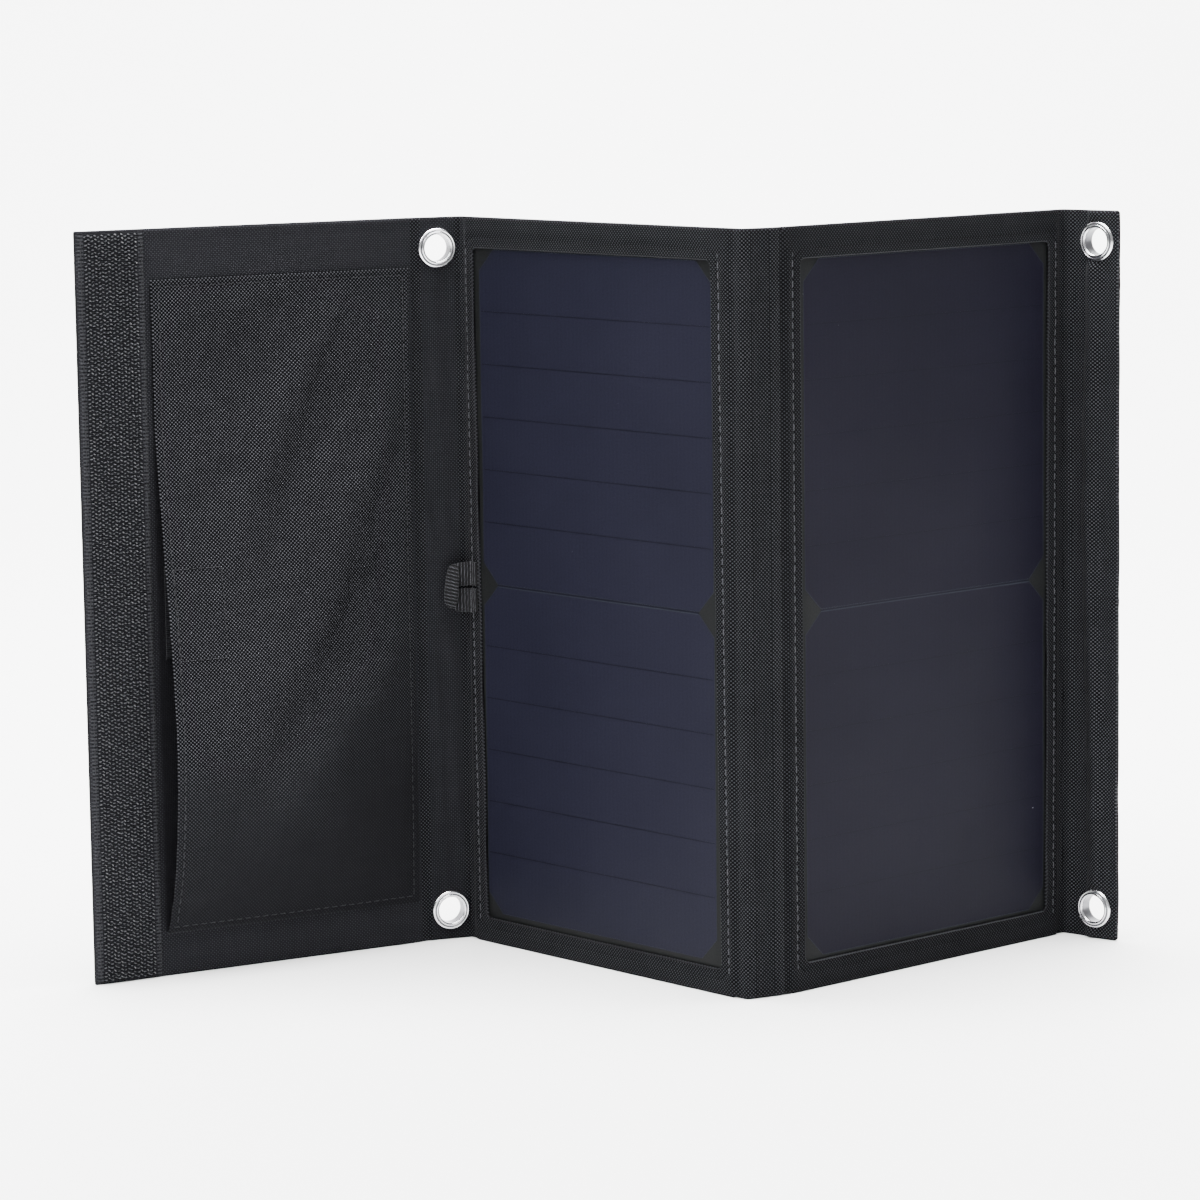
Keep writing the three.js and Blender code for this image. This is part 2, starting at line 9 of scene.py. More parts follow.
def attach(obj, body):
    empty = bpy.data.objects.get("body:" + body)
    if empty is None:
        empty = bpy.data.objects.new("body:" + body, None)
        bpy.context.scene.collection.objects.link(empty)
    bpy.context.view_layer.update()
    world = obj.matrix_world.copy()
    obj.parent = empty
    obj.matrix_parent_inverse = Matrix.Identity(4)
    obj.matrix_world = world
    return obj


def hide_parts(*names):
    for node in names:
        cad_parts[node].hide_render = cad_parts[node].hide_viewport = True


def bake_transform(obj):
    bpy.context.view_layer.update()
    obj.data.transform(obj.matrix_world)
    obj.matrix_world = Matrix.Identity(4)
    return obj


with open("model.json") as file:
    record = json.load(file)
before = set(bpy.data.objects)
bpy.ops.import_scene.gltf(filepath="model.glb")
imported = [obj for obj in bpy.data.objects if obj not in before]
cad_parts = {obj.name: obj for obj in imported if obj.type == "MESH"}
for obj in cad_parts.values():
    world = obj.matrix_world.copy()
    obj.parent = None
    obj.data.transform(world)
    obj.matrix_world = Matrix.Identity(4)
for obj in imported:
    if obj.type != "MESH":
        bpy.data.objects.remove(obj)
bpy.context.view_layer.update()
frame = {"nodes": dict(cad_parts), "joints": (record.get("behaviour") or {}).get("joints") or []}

# Looks of the folding fabric charger. The shape code below works in millimetres
# in each leaf's own frame: x along the leaf, y to the back, z up, and y = 0 in
# the middle of its thickness. place() turns that into metres in the row frame.

rng = np.random.default_rng(7)

HEIGHT = 275.0
THIN = 1.2        # half thickness of a spine, of the flap and beside a crease
PANEL = 2.35      # half thickness of a solar panel leaf
POCKET_PANEL = 1.6
CREASE = 2.0      # the crease pieces reach this far from their fold
TAPER = 3.2       # a leaf thins to THIN over this width beside a crease
THREAD = 0.2      # radius of the sewing thread
LOOP_MIDDLE = 136.0

WIDTH = {"pocket_panel": 137, "eyelet_spine": 17.6, "panel_1": 150, "centre_spine": 11.5,
         "panel_2": 150, "end_flap": 25}
FAR_CREASE = WIDTH["panel_1"] - CREASE  # where a panel's cloth ends beside its right crease
EYELETS = {
    "eyelet_spine": {"lower": (9.5, 11.5), "upper": (8.5, 263.5)},
    "end_flap": {"lower": (15.0, 11.5), "upper": (15.5, 263.5)},
}

# leaf: heading in degrees, a joint on it, that joint's x and y on the leaf,
# and where the leaf starts along the whole unfolded row
LEAVES = {
    "pocket_panel": (30, "pocket_crease", 137, -THIN, 0),
    "eyelet_spine": (21, "spine_crease", 17.6, -THIN, 137),
    "panel_1": (-48, "spine_crease", 0, -THIN, 154.6),
    "centre_spine": (28, "centre_crease_left", 0, THIN, 304.6),
    "panel_2": (42, "centre_crease_right", 0, THIN, 316.1),
    "end_flap": (-42, "flap_crease", 0, -THIN, 466.1),
    "webbing_loop": (21, "loop_swing", 0, 0, 140),
}
JOINT_AT = {j["name"]: j["pos_m"] for j in frame["joints"]}


def place(leaf, points):
    """Points on a leaf, in mm, as points in the row frame, in metres."""
    heading, joint, x, y, _ = LEAVES[leaf]
    c, s = math.cos(math.radians(heading)), math.sin(math.radians(heading))
    p = np.asarray(points, float) / 1000
    at = JOINT_AT[joint]
    px, py = p[..., 0] - x / 1000, p[..., 1] - y / 1000
    return np.stack([at[0] + c * px - s * py, at[1] + s * px + c * py, p[..., 2]], -1)


# ---------- the camera

def add_camera():
    data = bpy.data.cameras.new("camera")
    data.lens = 132.83
    data.sensor_width = 36
    camera = bpy.data.objects.new("camera", data)
    bpy.context.scene.collection.objects.link(camera)
    tilt = Matrix.Rotation(math.radians(90 - 7.839), 4, "X")
    roll = Matrix.Rotation(math.radians(-0.744), 4, "Z")
    camera.matrix_world = Matrix.Translation((-0.0037, -1.6055, 0.3580)) @ tilt @ roll
    bpy.context.scene.camera = camera


# ---------- mesh helpers

def volume(points, quads):
    total = 0.0
    for a, b, c in ((0, 1, 2), (0, 2, 3)):
        p, q, r = points[quads[:, a]], points[quads[:, b]], points[quads[:, c]]
        total += np.einsum("ij,ij->i", p, np.cross(q, r)).sum()
    return total


class Shape:
    """Points in mm, faces of four corners, a texture place and a material for each."""

    def __init__(self):
        self.points, self.quads, self.uv, self.material = [], [], [], []
        self.count = 0

    def add(self, points, quads, leaf, material=0, uv=None):
        points = np.asarray(points, float).reshape(-1, 3)
        uv = leaf_uv(points, leaf) if uv is None else uv
        quads = np.asarray(quads, int).reshape(-1, 4)
        if volume(points - points.mean(0), quads) < 0:
            quads = quads[:, ::-1]
        self.points.append(points)
        self.uv.append(np.asarray(uv, float).reshape(-1, 2))
        self.quads.append(quads + self.count)
        self.material.append(np.full(len(quads), material))
        self.count += len(points)
        return self


def grid(xs, zs):
    return np.meshgrid(xs, zs, indexing="ij")


def grid_quads(rows, columns, ring):
    index = np.arange(rows * columns).reshape(rows, columns)
    after = np.roll(index, -1, 0) if ring else index[1:]
    before = index if ring else index[:-1]
    return before, after, index


def slab_between(front, back, ring=False):
    """The quads of a closed solid between two grids of points, (I, K, 3) each."""
    rows, columns = front.shape[:2]
    a, b, index = grid_quads(rows, columns, ring)
    n = rows * columns
    faces = [np.stack([a[:, :-1], b[:, :-1], b[:, 1:], a[:, 1:]], -1).reshape(-1, 4)]
    faces.append(faces[0][:, ::-1] + n)
    walls = [(b[:, 0], a[:, 0]), (a[:, -1], b[:, -1])]
    if not ring:
        walls += [(index[0, :-1], index[0, 1:]), (index[-1, 1:], index[-1, :-1])]
    for p, q in walls:
        faces.append(np.stack([p, q, q + n, p + n], -1))
    points = np.concatenate([front.reshape(-1, 3), back.reshape(-1, 3)])
    return points, np.concatenate(faces)


def slab(x, z, front, back, ring=False):
    """A closed slab over a grid of x and z, from y = front to y = back."""
    return slab_between(*(np.stack([x, y + 0 * x, z], -1) for y in (front, back)), ring)


def masked_slab(x, z, keep, front, back):
    """A closed slab over the kept cells of a grid."""
    n = x.size
    index = np.arange(n).reshape(x.shape)
    corner = (index[:-1, :-1], index[1:, :-1], index[1:, 1:], index[:-1, 1:])
    faces = [np.stack([c[keep] for c in corner], -1)]
    faces.append(faces[0][:, ::-1] + n)
    padded = np.pad(keep, 1)
    neighbours = (padded[1:-1, :-2], padded[2:, 1:-1], padded[1:-1, 2:], padded[:-2, 1:-1])
    for side, beside in enumerate(neighbours):
        edge = keep & ~beside
        p, q = corner[(side + 1) % 4][edge], corner[side][edge]
        faces.append(np.stack([p, q, q + n, p + n], -1))
    points = np.concatenate([np.stack([x, y, z], -1).reshape(-1, 3) for y in (front, back)])
    used, faces = np.unique(np.concatenate(faces), return_inverse=True)
    return points[used], faces.reshape(-1, 4)


def make(name, shape, materials, leaf=None, nodes=(), sharp=40):
    """One Blender object from a Shape. It rides on a leaf and stands for CAD nodes."""
    points = np.concatenate(shape.points)
    if leaf is not None:
        points = place(leaf, points)
    quads = np.concatenate(shape.quads)
    mesh = bpy.data.meshes.new(name)
    mesh.vertices.add(len(points))
    mesh.vertices.foreach_set("co", points.ravel())
    mesh.loops.add(quads.size)
    mesh.loops.foreach_set("vertex_index", quads.ravel())
    mesh.polygons.add(len(quads))
    mesh.polygons.foreach_set("loop_start", np.arange(0, quads.size, 4))
    mesh.polygons.foreach_set("material_index", np.concatenate(shape.material))
    mesh.update(calc_edges=True)
    layer = mesh.uv_layers.new(name="leaf")
    layer.data.foreach_set("uv", np.concatenate(shape.uv)[quads.ravel()].ravel())
    for material in materials:
        mesh.materials.append(material)
    mesh.validate()
    mesh.polygons.foreach_set("use_smooth", np.ones(len(mesh.polygons), bool))
    mesh.set_sharp_from_angle(angle=math.radians(sharp))
    thing = bpy.data.objects.new(name, mesh)
    bpy.context.scene.collection.objects.link(thing)
    if leaf is not None:
        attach(thing, leaf)
    if nodes:
        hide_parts(*nodes)
    return thing


def leaf_slab(leaf, x, z, front, back, ring=False):
    """A Shape with one slab on a leaf."""
    return Shape().add(*slab(x, z, front, back, ring), leaf)


def leaf_uv(points, leaf):
    """Texture places in metres: along the whole row, and up."""
    points = np.asarray(points).reshape(-1, 3)
    return np.stack([(points[:, 0] + LEAVES[leaf][4]) / 1000, points[:, 2] / 1000], -1)


def steps(*stops):
    """Grid lines: steps((0, 10, 2), (10, 50, 8)) runs 0, 5, 10, 15, ... 50."""
    lines = [np.linspace(a, b, n + 1)[:-1] for a, b, n in stops]
    return np.concatenate([*lines, [stops[-1][1]]])


def both_ends(a, b, ends, count):
    """Grid lines from a to b, finer at both ends, which hold (distance, steps) pairs."""
    fine, start = [], 0
    for reach, n in ends:
        fine.append((start, reach, n))
        start = reach
    first = [(a + p, a + q, n) for p, q, n in fine]
    last = [(b - q, b - p, n) for p, q, n in fine[::-1]]
    return steps(*first, (a + start, b - start, count), *last)


def hump(t, at, width):
    return np.exp(-(((t - at) / width) ** 2))


def unit(vectors):
    return vectors / np.linalg.norm(vectors, axis=1)[:, None]


def from_ends(z):
    """How far a point is from the leaf's bottom or top edge."""
    return np.minimum(z, HEIGHT - z)


def inside_by(x, z, x0, x1, z0, z1):
    """How far a point is inside a rectangle."""
    return np.minimum(np.minimum(x - x0, x1 - x), np.minimum(z - z0, z1 - z))


def smooth(t):
    t = np.clip(t, 0, 1)
    return t * t * (3 - 2 * t)


class Waves:
    """Gentle irregular relief: a sum of sine waves in seeded directions."""

    def __init__(self, seed, length, count=9):
        draw = np.random.default_rng(seed)
        angle = draw.uniform(0, 2 * math.pi, count)
        size = 2 * math.pi / (length * draw.uniform(0.6, 1.8, count))
        self.kx, self.kz = np.cos(angle) * size, np.sin(angle) * size
        self.phase = draw.uniform(0, 2 * math.pi, count)

    def __call__(self, x, z):
        x, z = np.asarray(x)[..., None], np.asarray(z)[..., None]
        return np.sin(x * self.kx + z * self.kz + self.phase).sum(-1) / len(self.kx) ** 0.5


def edge_round(distance, radius):
    """1 inside, falling to 0 at an edge along a quarter circle."""
    t = np.clip(1 - distance / radius, 0, 1)
    return np.sqrt(1 - t * t)


# ---------- materials

class Shader:
    """A material's node tree, built a few nodes at a time."""

    def __init__(self, name, colour, roughness, metallic=0.0, specular=0.5, sheen=0.0):
        self.material = bpy.data.materials.new(name)
        self.material.use_nodes = True
        self.material.diffuse_color = (*colour, 1)
        self.tree = self.material.node_tree
        self.bsdf = self.tree.nodes["Principled BSDF"]
        self.fill(self.bsdf, {
            "Base Color": (*colour, 1), "Roughness": roughness, "Metallic": metallic,
            "Specular IOR Level": specular, "Sheen Weight": sheen,
        })

    def put(self, socket, value):
        if isinstance(value, bpy.types.NodeSocket):
            self.tree.links.new(value, socket)
        else:
            socket.default_value = value

    def fill(self, node, named):
        for key, value in named.items():
            if value is not None:
                self.put(node.inputs[key], value)

    def node(self, kind, *inputs, named=None, **settings):
        node = self.tree.nodes.new(kind)
        for key, value in settings.items():
            setattr(node, key, value)
        for socket, value in zip(node.inputs, inputs):
            self.put(socket, value)
        self.fill(node, named or {})
        return node

    def math(self, operation, a, b=0.0):
        return self.node("ShaderNodeMath", a, b, operation=operation).outputs[0]

    def add(self, a, b, share=1.0):
        return self.math("ADD", a, self.math("MULTIPLY", b, share) if share != 1 else b)

    def sine(self, value, pitch, shift=0.0):
        return self.math("SINE", self.add(shift, value, 2 * math.pi / pitch))

    def uv(self):
        return self.node("ShaderNodeUVMap", uv_map="leaf").outputs[0]

    def place(self):
        return self.node("ShaderNodeTexCoord").outputs["Object"]

    def split(self, vector):
        return self.node("ShaderNodeSeparateXYZ", vector).outputs

    def stretched(self, u, v, along_u, along_v):
        """A vector that squeezes a pattern differently along the leaf and up it."""
        u, v = self.math("MULTIPLY", u, along_u), self.math("MULTIPLY", v, along_v)
        return self.node("ShaderNodeCombineXYZ", u, v).outputs[0]

    def noise(self, vector, scale, detail=2.0, roughness=0.5):
        named = {"Scale": scale, "Detail": detail, "Roughness": roughness}
        return self.node("ShaderNodeTexNoise", vector, named=named).outputs["Fac"]

    def ramp(self, fac, *stops):
        node = self.node("ShaderNodeValToRGB", fac)
        elements = node.color_ramp.elements
        while len(elements) < len(stops):
            elements.new(0.5)
        for element, (position, colour) in zip(elements, stops):
            element.position = position
            element.color = (*colour, 1)
        return node.outputs[0]

    def mix(self, fac, a, b):
        node = self.node("ShaderNodeMix", fac, data_type="RGBA")
        for k, value in ((6, a), (7, b)):  # the colour sockets
            self.put(node.inputs[k], (*value, 1) if isinstance(value, tuple) else value)
        return node.outputs[2]

    def span(self, value, low, high, to_low, to_high):
        numbers = (value, low, high, to_low, to_high)
        return self.node("ShaderNodeMapRange", *numbers).outputs[0]

    def bump(self, height, strength, distance, normal=None):
        named = {"Strength": strength, "Distance": distance, "Height": height, "Normal": normal}
        return self.node("ShaderNodeBump", named=named).outputs[0]

    def finish(self, colour, roughness=None, normal=None):
        self.fill(self.bsdf, {"Base Color": colour, "Roughness": roughness, "Normal": normal})
        return self.material


WARP, WEFT = 0.00145, 0.00138  # a yarn over and a yarn under, across and up the leaf
FINGER = 0.0021                # between the thin lines printed on a cell


def woven(name, dark, light, under=0.1, inside=None, painted_low_shade=None):
    """Plain weave: yarns over and under in a chequer. under is how bright a sunk yarn is.

    inside is an area of the leaf, (u0, v0, u1, v1) in metres, painted a plainer black: painted
    shade.
    The last argument is two heights and a colour, painted shade: the weave fades to it from the
    second to the first."""
    s = Shader(name, light, 0.86, specular=0.02, sheen=0.008)
    at = s.uv()
    u, v, _ = s.split(at)
    sway = s.span(s.noise(at, 24.0), 0.3, 0.7, -0.3, 0.3)
    cross = s.math("MULTIPLY", s.sine(u, WARP, sway), s.sine(v, WEFT, sway))
    crown = s.math("POWER", s.math("ABSOLUTE", cross), 0.75)
    top = s.span(cross, -0.15, 0.15, under, 1.0)
    yarn_u = s.noise(s.stretched(u, v, 680.0, 60.0), 1.0, 2.0, 0.6)
    yarn_v = s.noise(s.stretched(u, v, 60.0, 680.0), 1.0, 2.0, 0.6)
    patch = s.noise(at, 26.0, 3.0, 0.6)
    uneven = s.add(s.add(yarn_u, yarn_v), patch)
    factor = s.span(uneven, 1.1, 1.9, 0.87, 1.13)
    level = s.math("MULTIPLY", s.math("MULTIPLY", crown, top), factor)
    middle = tuple(0.84 * a + 0.16 * b for a, b in zip(dark, light))
    colour = s.ramp(level, (0.0, dark), (0.34, middle), (1.0, light))
    # Painted shade: the area is darkened towards the dark colour.
    if inside:
        u0, v0, u1, v1 = inside
        mask = 1.0
        for value, limit, soft in ((u, u0, 0.0015), (u, u1, -0.0015), (v, v0, 0.0015),
                                   (v, v1, -0.0015)):
            edge = s.span(value, limit, limit + soft, 0.0, 0.85)
            mask = s.math("MINIMUM", edge, mask)
        colour = s.mix(mask, colour, dark)
    # Painted shade: the cloth darkens towards the bottom.
    if painted_low_shade:  # sooner on the sewn side
        height = s.add(s.add(v, u, -0.35), patch, 0.04)
        colour = s.mix(s.span(height, painted_low_shade[0], painted_low_shade[1], 0.78, 0.0), colour, painted_low_shade[2])
    normal = s.bump(level, 0.6, 0.0002)
    normal = s.bump(s.noise(at, 120.0, 3.0), 0.22, 0.0006, normal)
    rough = s.span(uneven, 1.1, 1.9, 0.92, 0.78)
    return s.finish(colour, rough, normal)


def fuzzy(name, dark, light, row):
    """Tape ground: fine rows across, with lint."""
    s = Shader(name, light, 0.9, specular=0.04, sheen=0.03)
    at = s.uv()
    level = s.add(s.noise(at, 900.0, 4.0, 0.7), s.sine(s.split(at)[1], row), 0.2)
    colour = s.ramp(level, (0.3, dark), (0.75, light))
    return s.finish(colour, 0.9, s.bump(level, 0.6, 0.0003))


def film_on(name, dark, light, roughness, fingers=0.0):
    """Something seen through the embossed satin film: cells, margins or lines."""
    s = Shader(name, light, roughness, specular=0.035)
    at = s.uv()
    grain = s.math("MULTIPLY", s.noise(at, 1500.0, 2.0, 0.6), 0.7)
    level = s.add(grain, s.noise(at, 14.0, 3.0, 0.55), 0.35)
    if fingers:
        level = s.add(level, s.sine(s.split(at)[0], FINGER), fingers)
    colour = s.ramp(level, (0.25, dark), (0.8, light))
    speck = s.ramp(s.noise(at, 420.0), (0.795, (0, 0, 0)), (0.81, (1, 1, 1)))
    colour = s.mix(s.math("MULTIPLY", speck, 0.4), colour, (0.55, 0.56, 0.6))
    normal = s.bump(s.noise(at, 1100.0, 1.0), 0.22, 0.00012)
    normal = s.bump(s.noise(at, 22.0), 0.03, 0.0012, normal)
    rough = s.span(s.noise(at, 60.0, 3.0, 0.6), 0.3, 0.7, roughness - 0.02, roughness + 0.03)
    return s.finish(colour, rough, normal)


def polished(name, colour, roughness, scratch):
    """Plated metal with fine scratches and faint darker stains."""
    s = Shader(name, colour, roughness, metallic=1.0)
    at = s.place()
    lines = s.noise(at, 900.0, 4.0, 0.65)
    stain = s.noise(at, 240.0, 3.0)
    tint = s.mix(s.span(stain, 0.45, 0.8, 0.0, 0.35), colour, tuple(c * 0.72 for c in colour))
    rough = s.span(stain, 0.3, 0.75, roughness, roughness + scratch)
    return s.finish(tint, rough, s.bump(lines, 0.06, 0.0001))


def moulded(name, colour, roughness, grain=1800.0):
    """Moulded plastic with a fine spark-eroded texture."""
    s = Shader(name, colour, roughness)
    at = s.place()
    fine = s.noise(at, grain, 3.0, 0.6)
    patch = s.noise(at, 60.0)
    lighter = tuple(min(1, c * 1.5) for c in colour)
    tint = s.mix(s.span(patch, 0.3, 0.7, 0.0, 0.5), colour, lighter)
    return s.finish(tint, s.span(fine, 0.3, 0.7, roughness - 0.08, roughness + 0.1),
                    s.bump(fine, 0.2, 0.0002))


def yarn(name, dark, light, twist):
    """Twisted thread or ribbed webbing: a fine lay across the strand."""
    s = Shader(name, light, 0.7, specular=0.1, sheen=0.04)
    at = s.uv()
    u, v, _ = s.split(at)
    level = s.add(s.noise(at, 2200.0, 2.0, 0.6), s.sine(s.add(u, v), twist), 0.3)
    colour = s.ramp(level, (0.25, dark), (0.8, light))
    return s.finish(colour, 0.7, s.bump(level, 0.5, 0.00015))


def make_materials():
    m = {}
    black = (0.0006, 0.0006, 0.0008)
    m["oxford"] = woven("black_oxford", black, (0.0383, 0.0388, 0.0436))
    # The same oxford made darker for panel 2's front: painted shade.
    m["oxford_2"] = woven("black_oxford_right_painted_shade", black, (0.0286, 0.029, 0.0326))
    m["flap"] = woven("black_oxford_flap", black, (0.053, 0.0537, 0.0603))
    m["crease"] = woven("crease_oxford", black, (0.0435, 0.044, 0.0495))
    m["spine"] = woven("spine_oxford", (0.0032, 0.0032, 0.0038), (0.0265, 0.027, 0.0308), 0.45)
    # The lining under the pocket is painted darker: painted shade.
    m["lining"] = woven("lining_oxford", (0.0042, 0.0042, 0.005), (0.0295, 0.03, 0.034), 0.45,
                        inside=(0.0275, 0.0165, 0.131, 0.255))
    # The pocket's lower part gets painted shade, darker towards the bottom.
    m["pocket"] = woven("pocket_oxford", black, (0.0585, 0.059, 0.0665), 0.05,
                        painted_low_shade=(0.035, 0.1, (0.0055, 0.0056, 0.0064)))
    m["selvedge"] = woven("selvedge", (0.005, 0.005, 0.0055), (0.06, 0.06, 0.063), 0.4)
    m["fold_edge"] = fuzzy("folded_edge", (0.004, 0.004, 0.0045), (0.02, 0.0205, 0.023), 0.0014)
    m["tape"] = fuzzy("tape_ground", (0.0012, 0.0012, 0.0017), (0.0125, 0.0128, 0.0148), 0.0007)
    m["tape_edge"] = fuzzy("tape_selvedge", (0.0025, 0.0025, 0.0032), (0.028, 0.0285, 0.032),
                           0.0013)
    m["hook"] = moulded("hook_plastic", (0.026, 0.0265, 0.03), 0.42)
    m["loops"] = yarn("loop_yarn", (0.012, 0.012, 0.015), (0.06, 0.061, 0.07), 0.0009)
    m["thread"] = yarn("sewing_thread", (0.01, 0.01, 0.012), (0.07, 0.07, 0.078), 0.0006)
    m["dark_thread"] = yarn("dark_thread", (0.003, 0.003, 0.004), (0.02, 0.02, 0.023), 0.0006)
    m["webbing"] = yarn("loop_webbing", (0.0004, 0.0004, 0.0006), (0.003, 0.0031, 0.0037), 0.0006)
    # Lighter yarn for the rib crests: a painted highlight.
    m["rib"] = yarn("webbing_rib_highlight", (0.004, 0.004, 0.005), (0.04, 0.0405, 0.046), 0.0006)
    m["cell_1"] = film_on("left_cell_under_film", (0.0045, 0.0047, 0.0088),
                          (0.0098, 0.0098, 0.0172), 0.42, 0.03)
    # Panel 2's cells: a purple-grey tone of their own, made darker than panel 1's as painted
    # shade.
    m["cell_2"] = film_on("right_cell_under_film_tone_and_shade", (0.0028, 0.0026, 0.0053),
                          (0.0064, 0.006, 0.0108), 0.42, 0.03)
    m["margin"] = film_on("margin_under_film", (0.0042, 0.0045, 0.0047),
                          (0.0098, 0.0104, 0.0104), 0.4)
    m["rim"] = film_on("cell_outline", (0.0065, 0.007, 0.0105), (0.0125, 0.0135, 0.0195), 0.45)
    m["bright"] = film_on("cell_edge", (0.0085, 0.0095, 0.0135), (0.0155, 0.017, 0.0235), 0.45)
    m["line"] = film_on("cell_line", (0.0022, 0.0023, 0.0042), (0.0047, 0.0048, 0.0084), 0.5)
    m["nickel"] = polished("plated_eyelet", (0.74, 0.74, 0.76), 0.12, 0.18)
    # Dark metal for the eyelet's groove and bore: painted shade.
    m["tarnish"] = polished("tarnished_eyelet", (0.16, 0.16, 0.17), 0.3, 0.2)
    m["steel"] = polished("socket_steel", (0.62, 0.62, 0.64), 0.28, 0.15)
    m["copper"] = polished("tinned_ribbon", (0.72, 0.71, 0.69), 0.3, 0.2)
    m["board"] = moulded("backing_board", (0.03, 0.035, 0.03), 0.6, 700.0)
    m["lead"] = moulded("lead_jacket", (0.018, 0.018, 0.02), 0.55, 1200.0)
    m["bare_cell"] = polished("bare_cell_surface", (0.02, 0.025, 0.07), 0.3, 0.1)
    m["case"] = moulded("black_moulding", (0.02, 0.02, 0.023), 0.5)
    m["circuit"] = moulded("circuit_board", (0.02, 0.12, 0.05), 0.4, 500.0)
    return m


# ---------- sewn and woven bits

def tube_quads(rings, sides, closed=False):
    """Quads of a tube of rings of points, with its ends closed by folding them over."""
    index = np.arange(rings * sides).reshape(rings, sides)
    after = np.roll(index, -1, 1)
    faces = [np.stack([index[:-1], index[1:], after[1:], after[:-1]], -1).reshape(-1, 4)]
    if closed:
        faces.append(np.stack([index[-1], index[0], after[0], after[-1]], -1))
        return np.concatenate(faces)
    for ring, flip in ((index[0], False), (index[-1], True)):
        for k in range(sides // 2 - 1):
            quad = [ring[k], ring[k + 1], ring[sides - 2 - k], ring[sides - 1 - k]]
            faces.append(np.array([quad[::-1] if flip else quad]))
    return np.concatenate(faces)


def stitch_form(length, sides=6):
    """One stitch along x, lying on y = 0 and dipping in at both ends."""
    along = np.array([-0.5, -0.4, -0.15, 0.15, 0.4, 0.5])
    size = np.array([0.55, 0.95, 1.0, 1.0, 0.95, 0.55]) * THREAD
    lift = np.array([-0.32, -0.02, 0.1, 0.1, -0.02, -0.32])
    angle = np.arange(sides) * 2 * math.pi / sides
    rings = [
        np.stack([np.full(sides, a * length), -h + r * np.cos(angle), r * np.sin(angle)], -1)
        for a, r, h in zip(along, size, lift)
    ]
    return np.concatenate(rings), tube_quads(len(along), sides)


def add_stitches(shape, leaf, start, end, surface, side=-1, pitch=3.6, share=0.72):
    """A row of stitches on a leaf between two points (x, z). surface gives y there."""
    (x0, z0), (x1, z1) = start, end
    run = math.hypot(x1 - x0, z1 - z0)
    count = max(1, round(run / pitch))
    form, quads = stitch_form(run / count * share)
    dx, dz = (x1 - x0) / run, (z1 - z0) / run
    for t in (np.arange(count) + 0.5) / count:
        lean = rng.normal(0, 0.05)
        c, k = math.cos(lean), math.sin(lean)
        ax, az = dx * c - dz * k, dx * k + dz * c
        x = x0 + (x1 - x0) * t + form[:, 0] * ax - form[:, 2] * az
        z = z0 + (z1 - z0) * t + form[:, 0] * az + form[:, 2] * ax
        y = surface(x, z) + side * (THREAD * 0.6 - form[:, 1])
        points = np.stack([x, y, z], -1)
        shape.add(points, quads, leaf)


# ---------- solar panels

WINDOW = {
    # corners of the front fabric's opening, x on the leaf at its bottom and top
    "panel_1": {"left": (11.0, 8.2), "right": (139.6, 137.0), "z": (9.5, 263.5)},
    "panel_2": {"left": (11.6, 11.2), "right": (139.6, 140.6), "z": (10.5, 263.5)},
}
CELL = 125.0
CHAMFER = 7.75
MIDDLE = HEIGHT / 2
CELL_LINES = (23.0, 42.75, 62.5, 82.25, 102.0)  # heights on a cell
STITCH_IN = 4.0  # from the window's edge to the stitch line


def window_contour(name, corner=2.2):
    """Points around the opening, clockwise from the front, and their outward normals."""
    w = WINDOW[name]
    z0, z1 = w["z"]
    corners = [(w["left"][0], z0), (w["left"][1], z1), (w["right"][1], z1), (w["right"][0], z0)]
    points, normals = [], []
    for k, here in enumerate(np.array(corners)):
        before, after = np.array(corners[k - 1]), np.array(corners[(k + 1) % 4])
        a, b = ((v / np.linalg.norm(v)) for v in (here - before, after - here))
        na, nb = np.array([-a[1], a[0]]), np.array([-b[1], b[0]])
        centre = here - corner * (na + nb) / (1 + na @ nb)
        start, end = math.atan2(na[1], na[0]), math.atan2(nb[1], nb[0])
        if end > start:
            end -= 2 * math.pi
        for angle in start + (end - start) * np.linspace(0, 1, 9):
            normals.append([math.cos(angle), math.sin(angle)])
            points.append(centre + corner * np.array(normals[-1]))
        first = points[-1]
        length = np.linalg.norm(after - first) - corner
        for t in np.arange(2.0, length - 1.0, 2.0):
            points.append(first + b * t)
            normals.append(list(nb))
    return np.array(points), np.array(normals)


def reach_to_edge(points, normals, x_range):
    """How far each point is from the leaf's outline along its normal."""
    far = np.full(len(points), 1e9)
    for axis, limits in ((0, x_range), (1, (0.0, HEIGHT))):
        for limit in limits:
            with np.errstate(divide="ignore", invalid="ignore"):
                d = (limit - points[:, axis]) / normals[:, axis]
            far = np.where((d > 1e-6) & np.isfinite(d), np.minimum(far, d), far)
    return far


def fullness(x):
    """0 at a panel's creases, 1 where it has its full thickness."""
    return smooth(np.minimum(x - CREASE, FAR_CREASE - x) / TAPER)


def panel_front_y(x, z, edge, waves):
    """The front fabric's surface, with its raised window edge and sunk stitch line."""
    thick = fullness(x)
    y = THIN + (PANEL - THIN) * thick
    bead = 0.14 * hump(edge, 0.6, 0.45)
    sunk = 0.3 * hump(edge, STITCH_IN, 0.55)
    puff = 0.25 * np.sin(np.pi * np.clip((edge - STITCH_IN) / 5.5, 0, 1))
    y += (bead - sunk + puff + 0.1 * waves(x, z)) * thick
    return -y


def panel_waves(name):
    return Waves(11 if name == "panel_1" else 12, 16)


